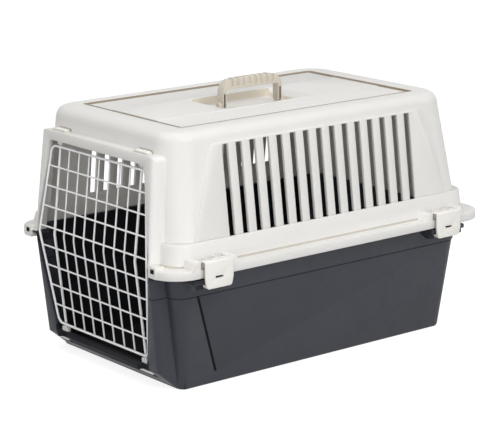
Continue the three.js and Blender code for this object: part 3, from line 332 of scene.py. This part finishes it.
@dataclass(frozen=True)
class FingerGrooves:
    """The grooves across the handle's grip: strips at an even pitch with painted shade at their floors."""

    centre: float = -2.2
    pitch: float = 11.0
    width: float = 4.4
    reach: float = 44.0
    low: float = 390.0
    high: float = 500.0
    tint: tuple[float, float, float] = (0.92, 0.90, 0.87)
    soft: float = 0.4
    soft_step: float = 0.06
    rough: float = 0.1

    def mask(self, shader: Shader) -> Wire:
        """1 where the place along the grip is within half a groove of a groove's middle.

        Args:
            shader: The material under construction.

        Returns:
            The mask, from 0 to 1.
        """
        _, y, z = shader.axes()
        share = self.width / self.pitch / 2
        step = ((y - self.centre) * (1 / self.pitch)).fraction().between(0.5 - share, 0.5 + share, self.soft_step)
        along = (y - self.centre).between(-self.reach, self.reach, self.soft)
        return step * along * z.between(self.low, self.high, self.soft)


@dataclass(frozen=True)
class MouldedPlastic:
    """Injection-moulded plastic: fine spark texture, faint cloudiness, scuffs that lift the roughness, and painted
    shade in its hollows and creases.
    """

    name: str
    colour: tuple[float, float, float]
    cloud: float = 0.04
    roughness: float = 0.42
    scuff: float = 0.08
    cloud_size: float = 0.09
    cloud_span: tuple[float, float] = (0.3, 0.7)
    scuff_size: float = 0.022
    scuff_span: tuple[float, float] = (0.45, 0.75)
    grain_size: float = 0.0011
    grain_depth: float = 0.00004
    grain_strength: float = 0.5
    index: float = 1.49
    gloss: float = 0.5
    translucency: float = 0.0
    glow_reach: tuple[float, float, float] = (0.012, 0.0105, 0.009)
    # Blocks and bands of painted shade: each darkens the colour by its tint where its mask lies.
    painted_shades: tuple[Union[Recess, Channel, FingerGrooves], ...] = ()

    def build(self) -> bpy.types.Material:
        """Make the material.

        Returns:
            The finished material.
        """
        shader = Shader(self.name)
        cloud = shader.noise(self.cloud_size, 2.0)
        low = tuple(c * (1 - self.cloud) for c in self.colour)
        high = tuple(min(c * (1 + self.cloud), 1.0) for c in self.colour)
        colour = shader.mix(cloud.ramp(*self.cloud_span), low, high)
        wear = shader.noise(self.scuff_size, 5.0, 0.65).ramp(*self.scuff_span)
        roughness = wear * self.scuff + self.roughness
        # Painted shade: each block or band multiplies the colour by its tint where its mask lies, and lifts the
        # roughness.
        for painted_shade in self.painted_shades:
            mask = painted_shade.mask(shader)
            colour = shader.tint(colour, mask, painted_shade.tint)
            roughness = roughness + mask * painted_shade.rough
        shader.set("Base Color", colour)
        shader.set("Roughness", roughness.clamp())
        shader.set("IOR", self.index)
        shader.set("Specular IOR Level", self.gloss)
        if self.translucency:
            shader.set("Subsurface Weight", self.translucency)
            shader.set("Subsurface Radius", self.glow_reach)
            shader.set("Subsurface Scale", 1.0)
        grain = shader.noise(self.grain_size, 2.0)
        shader.bump(grain, self.grain_depth, self.grain_strength)
        return shader.material


@dataclass(frozen=True)
class CoatedWire:
    """Steel wire dipped in white plastic: smooth, slightly uneven coat."""

    name: str = "coated door wire"
    colour: tuple[float, float, float] = (0.95, 0.95, 0.965)
    roughness: float = 0.26
    drip_size: float = 0.012
    drip_shade: float = 0.95
    drip_rough: float = 0.1
    drip_depth: float = 0.0002
    drip_strength: float = 0.4
    coat: float = 0.4
    coat_roughness: float = 0.12

    def build(self) -> bpy.types.Material:
        """Make the material.

        Returns:
            The finished material.
        """
        shader = Shader(self.name)
        drip = shader.noise(self.drip_size, 2.0)
        low = tuple(c * self.drip_shade for c in self.colour)
        shader.set("Base Color", shader.mix(drip.ramp(0.3, 0.7), low, self.colour))
        shader.set("Roughness", drip * self.drip_rough + self.roughness)
        shader.set("Coat Weight", self.coat)
        shader.set("Coat Roughness", self.coat_roughness)
        shader.bump(drip, self.drip_depth, self.drip_strength)
        return shader.material


def seen_ray(tree: bpy.types.NodeTree) -> Wire:
    """1 for what the camera sees, directly or through gloss and glass, and 0 for light that falls on things.

    Args:
        tree: The node tree that the nodes go into.

    Returns:
        The mask, 0 or 1.
    """
    path = tree.nodes.new("ShaderNodeLightPath")
    rays = [Wire(tree, path.outputs[f"Is {kind} Ray"]) for kind in ("Camera", "Glossy", "Transmission")]
    return (rays[0] + rays[1] + rays[2]).clamp()


@dataclass(frozen=True)
class PlainStage:
    """Seamless pale floor: white to the camera but for the carrier's soft shadow."""

    name: str = "studio floor"
    grey: float = 0.5
    lift: float = 0.82

    def build(self) -> bpy.types.Material:
        """Make the material.

        Returns:
            The finished material.
        """
        shader = Shader(self.name)
        shader.set("Base Color", (self.grey, self.grey, self.grey, 1.0))
        shader.set("Roughness", 0.9)
        shader.set("Specular IOR Level", 0.1)
        shader.set("Emission Strength", 1.0)
        level = seen_ray(shader.tree) * self.lift
        made = shader.node("ShaderNodeCombineColor", None, Red=level, Green=level, Blue=level)
        shader.set("Emission Color", made.outputs["Color"])
        return shader.material


# --------------------------------------------------------------------------- surface helpers


def as_mesh(name: str, points: Array, faces: list[list[int]]) -> bpy.types.Mesh:
    """Make a mesh of points in metres and faces of point numbers.

    Args:
        name: The mesh's name.
        points: One row of x, y, z a point.
        faces: Lists of point numbers, anticlockwise seen from outside.

    Returns:
        The mesh.
    """
    mesh = bpy.data.meshes.new(name)
    mesh.from_pydata(points.tolist(), [], faces)
    mesh.validate()
    return mesh


def tube_faces(rows: int, columns: int) -> list[list[int]]:
    """Faces of a tube whose rings of points are stored one after another.

    Args:
        rows: Number of rings.
        columns: Points in a ring, of which the last joins the first.

    Returns:
        The faces.
    """
    r, c = np.meshgrid(np.arange(rows - 1), np.arange(columns), indexing="ij")
    beside = (c + 1) % columns
    quads = np.stack([r * columns + c, r * columns + beside, (r + 1) * columns + beside, (r + 1) * columns + c], -1)
    return quads.reshape(-1, 4).tolist()


def quarter(count: int) -> Array:
    """Angles of a quarter turn, both ends included."""
    return np.linspace(0.0, math.pi / 2, count)


def unit(vectors: Array) -> Array:
    """Each row divided by its length."""
    return vectors / np.linalg.norm(vectors, axis=1, keepdims=True)


def rounded_path(corners: Sequence[Sequence[float]], radii: Sequence[float], steps: int = 8) -> Array:
    """Round the inner corners of an open polyline by circular arcs.

    Each corner is replaced by the arc that touches both of its legs at radius / tan(half angle) from it.

    Args:
        corners: Points in any number of dimensions.
        radii: One radius for each inner corner.
        steps: Segments of each arc.

    Returns:
        The rounded line's points.
    """
    pts = np.asarray(corners, float)
    line = [pts[:1]]
    for i, radius in enumerate(radii, start=1):
        back, ahead = pts[i - 1] - pts[i], pts[i + 1] - pts[i]
        back, ahead = back / np.linalg.norm(back), ahead / np.linalg.norm(ahead)
        half = math.acos(float(np.clip(back @ ahead, -1, 1))) / 2
        reach = radius / math.tan(half)
        middle = pts[i] + (back + ahead) / np.linalg.norm(back + ahead) * radius / math.sin(half)
        a, b = pts[i] + back * reach - middle, pts[i] + ahead * reach - middle
        turn = math.pi - 2 * half
        t = np.linspace(0, 1, steps + 1)[:, None]
        line.append(middle + (np.sin((1 - t) * turn) * a + np.sin(t * turn) * b) / math.sin(turn))
    line.append(pts[-1:])
    return np.concatenate(line)


def sweep(path: Array, radius: float, sides: int, closed: bool = False) -> tuple[Array, list]:
    """A round wire along a path: circles square to the path, in a frame carried along it without twist.

    The ends of an open path are domed.

    Args:
        path: Points in metres.
        radius: The wire's radius.
        sides: Points in each circle.
        closed: Whether the path closes on itself.

    Returns:
        Points and faces.
    """
    p = np.asarray(path, float)
    ahead = np.roll(p, -1, 0) - p
    behind = p - np.roll(p, 1, 0)
    if not closed:
        ahead[-1], behind[0] = behind[-1], ahead[0]
    tangent = unit(unit(ahead) + unit(behind))
    side = np.zeros_like(p)
    start = np.array([0.0, -1.0, 0.0]) if abs(tangent[0][1]) < 0.9 else np.array([1.0, 0.0, 0.0])
    for i, t in enumerate(tangent):
        previous = start if i == 0 else side[i - 1]
        across = previous - (previous @ t) * t
        side[i] = across / np.linalg.norm(across)
    up = np.cross(tangent, side)
    turn = np.linspace(0, 2 * math.pi, sides, endpoint=False)
    radii = np.full(len(p), radius)
    centres = p
    if not closed:
        cap = quarter(5)[1:]
        rise, spread = radius * (1 - np.cos(cap))[:, None], radius * np.sin(cap)
        count = len(cap)
        centres = np.concatenate([p[0] + tangent[0] * rise, p[1:-1], (p[-1] - tangent[-1] * rise)[::-1]])
        radii = np.concatenate([spread, radii[1:-1], spread[::-1]])
        side, up = (np.concatenate([np.repeat(a[:1], count, 0), a[1:-1], np.repeat(a[-1:], count, 0)])
                    for a in (side, up))
    ring = np.cos(turn)[None, :, None] * side[:, None] + np.sin(turn)[None, :, None] * up[:, None]
    points = (centres[:, None] + radii[:, None, None] * ring).reshape(-1, 3)
    rows = len(centres)
    faces = tube_faces(rows, sides)
    if closed:
        last = (rows - 1) * sides
        faces += [[last + k, last + (k + 1) % sides, (k + 1) % sides, k] for k in range(sides)]
    else:
        faces += [list(range(sides))[::-1], list(range((rows - 1) * sides, rows * sides))]
    return points, faces


def shown(mesh: bpy.types.Mesh, name: str, material: bpy.types.Material, body: str,
          replaces: Sequence[str] = ()) -> bpy.types.Object:
    """Put a finished mesh into the scene as a piece of the carrier.

    Args:
        mesh: The mesh, in metres in the carrier's frame.
        name: The piece's name.
        material: Its finish.
        body: The moving body that it rides on.
        replaces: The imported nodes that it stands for.

    Returns:
        The object.
    """
    piece = bpy.data.objects.new(name, mesh)
    bpy.context.scene.collection.objects.link(piece)
    mesh.materials.clear()
    mesh.materials.append(material)
    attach(piece, body)
    if replaces:
        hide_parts(*replaces)
    log.info("%s: %d faces on %s", name, len(mesh.polygons), body)
    return piece


def worked(mesh: bpy.types.Mesh, edge: float = 0.0, steps: int = 2, limit: float = 35.0) -> bpy.types.Mesh:
    """Give a mesh rounded edges, and shade it smooth between its real edges.

    Args:
        mesh: A mesh whose faces point outwards.
        edge: Radius of the rounding of sharp edges, in metres; none at 0.
        steps: Segments across each rounding.
        limit: Edges sharper than this many degrees are rounded.

    Returns:
        The finished mesh.
    """
    body = bpy.data.objects.new("work", mesh)
    bpy.context.scene.collection.objects.link(body)
    if edge:
        bevel = body.modifiers.new("edge", "BEVEL")
        bevel.width = edge
        bevel.segments = steps
        bevel.limit_method = "ANGLE"
        bevel.angle_limit = math.radians(limit)
        bevel.miter_outer = "MITER_ARC"
    bpy.context.view_layer.update()
    graph = bpy.context.evaluated_depsgraph_get()
    made = bpy.data.meshes.new_from_object(body.evaluated_get(graph))
    bpy.data.objects.remove(body)
    made.polygons.foreach_set("use_smooth", np.ones(len(made.polygons), bool))
    made.set_sharp_from_angle(angle=math.radians(limit))
    return made


def from_node(node: bpy.types.Object, edge: float, weld: float = 2e-6, flat: float = 1.0) -> bpy.types.Mesh:
    """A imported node's shape with its loose triangles merged, its flats made whole and its edges rounded.

    Args:
        node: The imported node.
        edge: Radius of the rounding, in metres.
        weld: Points nearer than this, in metres, become one.
        flat: Faces that meet at less than this many degrees become one.

    Returns:
        The finished mesh.
    """
    work = bmesh.new()
    work.from_mesh(node.data)
    bmesh.ops.remove_doubles(work, verts=work.verts, dist=weld)
    bmesh.ops.dissolve_limit(work, angle_limit=math.radians(flat), verts=work.verts, edges=work.edges)
    mesh = bpy.data.meshes.new(node.name)
    work.to_mesh(mesh)
    work.free()
    return worked(mesh, edge=edge)


# --------------------------------------------------------------------------- moulded pieces


class Packed:
    """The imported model's nodes, with the material slot and the moving body of each."""

    def __init__(self, frame: dict) -> None:
        """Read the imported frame.
        """
        record = frame["record"]
        self.nodes = frame["nodes"]
        self.slots = {row["node"]: row["material_slot"] for row in record["subparts"]}
        self.body_of = {node: body for body, members in record["behaviour"]["bodies"].items() for node in members}


@dataclass
class Moulding:
    """A sub-assembly of moulded pieces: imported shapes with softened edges, all in one plastic."""

    members: tuple[str, ...] = ()
    edge: float = 0.0006

    def finish(self) -> MouldedPlastic:
        """The plastic of the pieces."""
        raise NotImplementedError

    def build(self, packed: Packed) -> None:
        """Make and dress each piece whose name begins as one of the members.

        Args:
            packed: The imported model.
        """
        look = self.finish().build()
        for name, node in packed.nodes.items():
            if name.startswith(self.members):
                mesh = from_node(node, self.edge)
                shown(mesh, f"rounded_{name}", look, packed.body_of[name], [name])


@dataclass
class Cover(Moulding):
    """The pale cover: shell, rim, vent slots, sunk top panel and the upper part of the door surround."""

    members: tuple[str, ...] = ("top_shell",)
    # Painted shade in the channel round the top panel, and a darker line of it at the panel's edge.
    channel: Channel = Channel()
    panel_edge_shade: Channel = Channel(117.9, -217.3, 210.5, 3.0, width=5.0, top=368.2, tint=(0.36, 0.31, 0.25))
    # Painted shade on the walls of the handle's pocket, standing for the handle's shadow.
    pocket: Recess = Recess((-1, -75, 356.5), (48, 71, 367.8), (0.80, 0.74, 0.64), soft=1.5)
    # Painted shade inside the hole at the rim's front end.
    rim_hole_shade: Recess = Recess((152.3, -299.3, 180.7), (161.7, -287, 187.6), (0.06, 0.045, 0.04))
    # Painted shade over the rear of both sides, and deeper painted shade on the rear wall seen from inside.
    rear_side_shade: Recess = Recess((-1, 90, 187), (193.1, 266, 345), (0.80, 0.76, 0.72), lean=0.12, flare=-0.109)
    rear_inside_shade: Recess = Recess((-1, 266, 187), (150, 294.6, 345), (0.26, 0.22, 0.19), lean=0.12, flare=-0.109)
    # Painted shade in the narrow space behind each door slider.
    guide: Recess = Recess((84.4, -276.4, 321), (118.6, -265, 342.4), (0.30, 0.25, 0.22))
    # Painted shade along the crease at the foot of the band, above the rim.
    band_foot_shade: Channel = Channel(182.7, -279.7, 282.2, 32.7, width=3.2, top=188.9, foot=186.2,
                                 tint=(0.72, 0.68, 0.62))

    def finish(self) -> MouldedPlastic:
        """Pale plastic that lets some light through, with painted shade in its recesses, slider guides, the crease at
        the band's foot and over the rear of the shell.
        """
        return MouldedPlastic("cover plastic", (0.80, 0.78, 0.745), cloud=0.015, roughness=0.4, translucency=0.3,
                              painted_shades=(self.channel, self.panel_edge_shade, self.pocket, self.rim_hole_shade, self.rear_side_shade,
                                     self.rear_inside_shade, self.guide, self.band_foot_shade))


@dataclass
class Tub(Moulding):
    """The dark tub: shell, band, catches, sill and the lower part of the door surround."""

    members: tuple[str, ...] = ("bottom_shell",)
    # Painted shade, with a rougher surface, over the inside of the tub.
    inside: Recess = Recess((-1, -243, 1.5), (150.6, 238, 186), (0.08, 0.08, 0.09), flare=0.1217, rough=0.45)
    # Painted shade on the sill under the door.
    sill: Recess = Recess((-1, -310, 12), (118, -262, 44), (0.25, 0.25, 0.26), rough=0.45)
    # Painted shade along the crease at the band's lower step.
    crease: Recess = Recess((-1, -300, 138.2), (210, 300, 140.0), (0.35, 0.35, 0.36), rough=0.3)
    rim_shade: Recess = Recess((140, -300, 167), (210, -247, 178), (0.45, 0.45, 0.46), soft=3, rough=0.3)
    bracket_places: tuple[float, float] = (-224.0, 213.0)
    bracket_reach: tuple[float, float] = (30.0, 34.0)

    def brackets(self) -> tuple[Recess, ...]:
        """The shade round both brackets of a side."""
        ahead, behind = self.bracket_reach
        return tuple(Recess((174.5, y - ahead, 150), (200, y + behind, 174.6), (0.4, 0.4, 0.42), rough=0.3)
                     for y in self.bracket_places)

    def finish(self) -> MouldedPlastic:
        """Dark, slightly blue plastic with a dull surface, and painted shade inside, on the sill, along the crease,
        under the rim and round the brackets.
        """
        return MouldedPlastic("tub plastic", (0.036, 0.039, 0.050), cloud=0.06, roughness=0.48, scuff=0.12,
                              gloss=0.32, painted_shades=(self.inside, self.sill, self.crease, self.rim_shade,
                                                 *self.brackets()))


@dataclass
class Fittings(Moulding):
    """The white fittings: side latches with their pins, and the bushes under the door's rods."""

    members: tuple[str, ...] = ("side_latch", "latch_hinge_pin", "door_pin_bush")
    end_places: tuple[float, float] = (-245.9, 187.1)
    end_half: float = 0.6

    def finish(self) -> MouldedPlastic:
        """Near-white plastic, with painted shade in the narrow gap at a latch's end.

        Returns:
            The plastic.
        """
        half = self.end_half
        # Painted shade in the narrow gap at each latch's end.
        ends = tuple(Recess((180, y - half, 150), (206, y + half, 197), (0.45, 0.40, 0.35)) for y in self.end_places)
        return MouldedPlastic("fitting plastic", (0.86, 0.84, 0.80), cloud=0.01, roughness=0.33, painted_shades=ends)


@dataclass
class Sliders(Moulding):
    """The two thumb sliders over the upper ends of the door's rods."""

    members: tuple[str, ...] = ("door_slider",)

    def finish(self) -> MouldedPlastic:
        """Plastic a little darker than the other fittings."""
        return MouldedPlastic("slider plastic", (0.78, 0.75, 0.70), cloud=0.01, roughness=0.38)


@dataclass
class CarryHandle(Moulding):
    """The folding carry handle with its two pivot pins."""

    members: tuple[str, ...] = ("carry_handle", "handle_pivot_pin")
    # Painted shade at the floors of the grip's grooves.
    grooves: FingerGrooves = FingerGrooves()
    slot_places: tuple[float, float] = (-54.7, 50.3)
    slot_half: float = 1.6

    def finish(self) -> MouldedPlastic:
        """Beige plastic, with painted shade in the grip's grooves and the legs' slots.

        Returns:
            The plastic.
        """
        half = self.slot_half
        # Painted shade in the slot of each leg.
        slots = tuple(Recess((-1, y - half, 350), (6.5, y + half, 380), (0.22, 0.20, 0.17)) for y in self.slot_places)
        return MouldedPlastic("handle plastic", (0.62, 0.57, 0.49), cloud=0.02, roughness=0.4,
                              painted_shades=(self.grooves, *slots))


# --------------------------------------------------------------------------- wire door


@dataclass
class WireDoor:
    """The bent wire door: outline, two thick rods, thin uprights and crossbars."""

    axis: tuple[float, float] = (101.5, -273.3)
    bottom: float = 47.0
    top: float = 315.2
    bend: float = 185.5
    bulge: float = 15.4
    rod: float = 2.0
    outline: float = 1.8
    thin: float = 1.3
    gap: float = 0.3
    half_bottom: float = 113.0
    half_bend: float = 135.3
    half_top: float = 117.0
    uprights: int = 7
    crossbars: int = 8
    first_crossbar: float = 75.0
    crossbar_pitch: float = 30.0
    crossbar_inset: float = 0.4
    outline_corner: float = 11.0
    bend_corner: float = 9.0
    rod_foot: float = 37.0
    rod_tip: float = 323.0
    rod_corner: float = 6.0
    rod_bend: float = 12.0
    upright_bend: float = 30.0
    thick_sides: int = 16
    thin_sides: int = 12
    finish: CoatedWire = CoatedWire()

    def lead(self, z: Union[float, Array]) -> Array:
        """Forward bulge of the door at a height: straight up to the bend and straight back.

        Args:
            z: The height, or many.

        Returns:
            The bulge at each height.
        """
        low = (z - self.bottom) / (self.bend - self.bottom)
        high = (self.top - z) / (self.top - self.bend)
        return self.bulge * np.clip(np.minimum(low, high), 0, 1)

    def half(self, z: float) -> float:
        """Half width of the outline wire's centre line at a height."""
        return float(np.interp(z, [self.bottom, self.bend, self.top],
                               [self.half_bottom, self.half_bend, self.half_top]))

    def point(self, x: float, z: float, layer: float) -> tuple[float, float, float]:
        """A point of the door's plane, moved forward by a layer."""
        return x, self.axis[1] - float(self.lead(z)) - layer, z

    def outline_wire(self) -> tuple[Array, list]:
        """The closed outline: six straight legs with rounded corners.

        Returns:
            Points and faces, in metres.
        """
        layer = self.rod + self.outline + self.gap
        corners = [(0, self.top), (self.half_top, self.top), (self.half_bend, self.bend),
                   (self.half_bottom, self.bottom), (-self.half_bottom, self.bottom),
                   (-self.half_bend, self.bend), (-self.half_top, self.top), (0, self.top)]
        radii = [self.outline_corner, self.bend_corner, self.outline_corner] * 2
        line = rounded_path([self.point(x, z, layer) for x, z in corners], radii, 7)
        return sweep(line[:-1] * MM, self.outline * MM, self.thick_sides, closed=True)

    def rod_wire(self, x: float) -> tuple[Array, list]:
        """A thick rod, straight at both ends and bent with the door between.

        Args:
            x: Where it stands.

        Returns:
            Points and faces, in metres.
        """
        y = self.axis[1]
        line = rounded_path([(x, y, self.rod_foot), (x, y, self.bottom), (x, y - self.bulge, self.bend),
                             (x, y, self.top), (x, y, self.rod_tip)],
                            [self.rod_corner, self.rod_bend, self.rod_corner], 6)
        return sweep(line * MM, self.rod * MM, self.thick_sides)

    def upright(self, x: float) -> tuple[Array, list]:
        """A thin upright behind the crossbars and the outline.

        Args:
            x: Where it stands.

        Returns:
            Points and faces, in metres.
        """
        layer = self.rod - self.thin
        line = rounded_path([self.point(x, self.bottom - self.outline, layer), self.point(x, self.bend, layer),
                             self.point(x, self.top + self.outline, layer)], [self.upright_bend], 8)
        return sweep(line * MM, self.thin * MM, self.thin_sides)

    def crossbar(self, z: float) -> tuple[Array, list]:
        """A thin crossbar that ends in the outline.

        Args:
            z: Its height.

        Returns:
            Points and faces, in metres.
        """
        reach = self.half(z) - self.crossbar_inset
        layer = self.rod + self.thin + self.gap
        line = np.array([self.point(x, z, layer) for x in np.linspace(-reach, reach, 9)])
        return sweep(line * MM, self.thin * MM, self.thin_sides)

    def build(self) -> None:
        """Make and dress every wire of the door."""
        look = self.finish.build()
        pitch = 2 * self.axis[0] / (self.uprights + 1)
        wires = {"door_frame": self.outline_wire(), "door_rod_left": self.rod_wire(-self.axis[0]),
                 "door_rod_right": self.rod_wire(self.axis[0])}
        for i in range(1, self.uprights + 1):
            wires[f"door_upright_{i}"] = self.upright(-self.axis[0] + i * pitch)
        for i in range(1, self.crossbars + 1):
            wires[f"door_crossbar_{i}"] = self.crossbar(self.first_crossbar + (i - 1) * self.crossbar_pitch)
        for node, (points, faces) in wires.items():
            mesh = worked(as_mesh(node, points, faces), limit=50)
            shown(mesh, f"coated_{node}", look, "door", [node])


# --------------------------------------------------------------------------- studio


def towards(azimuth: float, elevation: float) -> Vector:
    """The unit vector at an azimuth from the front and an elevation, both in degrees."""
    a, e = math.radians(azimuth), math.radians(elevation)
    return Vector((math.sin(a) * math.cos(e), -math.cos(a) * math.cos(e), math.sin(e)))


@dataclass(frozen=True)
class Lamp:
    """A square soft lamp on a sphere round the carrier: angles in degrees, edge in metres, power in watts."""

    name: str
    azimuth: float
    elevation: float
    size: float
    power: float

    def hang(self, target: tuple[float, float, float], distance: float) -> None:
        """Hang the lamp so that it faces a point.

        Args:
            target: The point, in metres.
            distance: How far from it the lamp hangs, in metres.
        """
        back = towards(self.azimuth, self.elevation)
        data = bpy.data.lights.new(self.name, "AREA")
        data.size = self.size
        data.energy = self.power
        lamp = bpy.data.objects.new(self.name, data)
        bpy.context.scene.collection.objects.link(lamp)
        lamp.location = Vector(target) + back * distance
        lamp.rotation_mode = "QUATERNION"
        lamp.rotation_quaternion = (-back).to_track_quat("-Z", "Y")


@dataclass
class Studio:
    """Camera, lamps, floor and world."""

    azimuth: float = 51.728
    elevation: float = 13.851
    distance: float = 3.0921
    target: tuple[float, float, float] = (-0.0077, 0.0, 0.17905)
    sensor: float = 36.0
    focal_share: float = 2040.6 / 498
    view_end: float = 50.0
    roll: float = -0.533
    world_light: float = 0.35
    floor_half: float = 6.0
    lamp_target: tuple[float, float, float] = (0.0, 0.0, 0.2)
    lamp_distance: float = 3.0
    lamps: tuple[Lamp, ...] = (Lamp("key", 88, 36, 1.6, 39), Lamp("top", 20, 80, 2.2, 19),
                               Lamp("brow", 0, 52, 1.4, 10), Lamp("fill", 46, 8, 1.5, 20))

    def camera(self) -> None:
        """Place the camera: back along its azimuth and elevation from its target, rolled about its own axis."""
        back = towards(self.azimuth, self.elevation)
        data = bpy.data.cameras.new("camera")
        data.sensor_width = self.sensor
        data.lens = self.sensor * self.focal_share
        data.clip_end = self.view_end
        camera = bpy.data.objects.new("camera", data)
        bpy.context.scene.collection.objects.link(camera)
        camera.location = Vector(self.target) + back * self.distance
        turn = (-back).to_track_quat("-Z", "Y")
        camera.rotation_mode = "QUATERNION"
        camera.rotation_quaternion = turn @ Quaternion((0, 0, 1), math.radians(self.roll))
        bpy.context.scene.camera = camera

    def floor(self) -> None:
        """Lay the pale floor."""
        h = self.floor_half
        mesh = as_mesh("floor", np.array([(-h, -h, 0), (h, -h, 0), (h, h, 0), (-h, h, 0)]), [[0, 1, 2, 3]])
        floor = bpy.data.objects.new("floor", mesh)
        bpy.context.scene.collection.objects.link(floor)
        mesh.materials.append(PlainStage().build())

    def world(self) -> None:
        """Light the world evenly, and let it look white to the camera, to gloss and through gaps."""
        world = bpy.data.worlds.new("studio")
        bpy.context.scene.world = world
        world.use_nodes = True
        tree = world.node_tree
        background = tree.nodes["Background"]
        light = self.world_light
        feed(tree, background.inputs["Strength"], seen_ray(tree) * (1 - light) + light)
        background.inputs["Color"].default_value = (1, 1, 1, 1)

    def build(self) -> None:
        """Make the whole studio."""
        bpy.context.scene.view_settings.view_transform = "Standard"
        self.floor()
        self.world()
        for lamp in self.lamps:
            lamp.hang(self.lamp_target, self.lamp_distance)
        self.camera()


def main() -> None:
    """Build the carrier's sub-assemblies and the studio in order."""
    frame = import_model()
    packed = Packed(frame)
    for assembly in (Tub(), Cover(), CarryHandle(), Fittings(), Sliders()):
        assembly.build(packed)
    WireDoor().build()
    Studio().build()


if __name__ == "__main__":
    main()
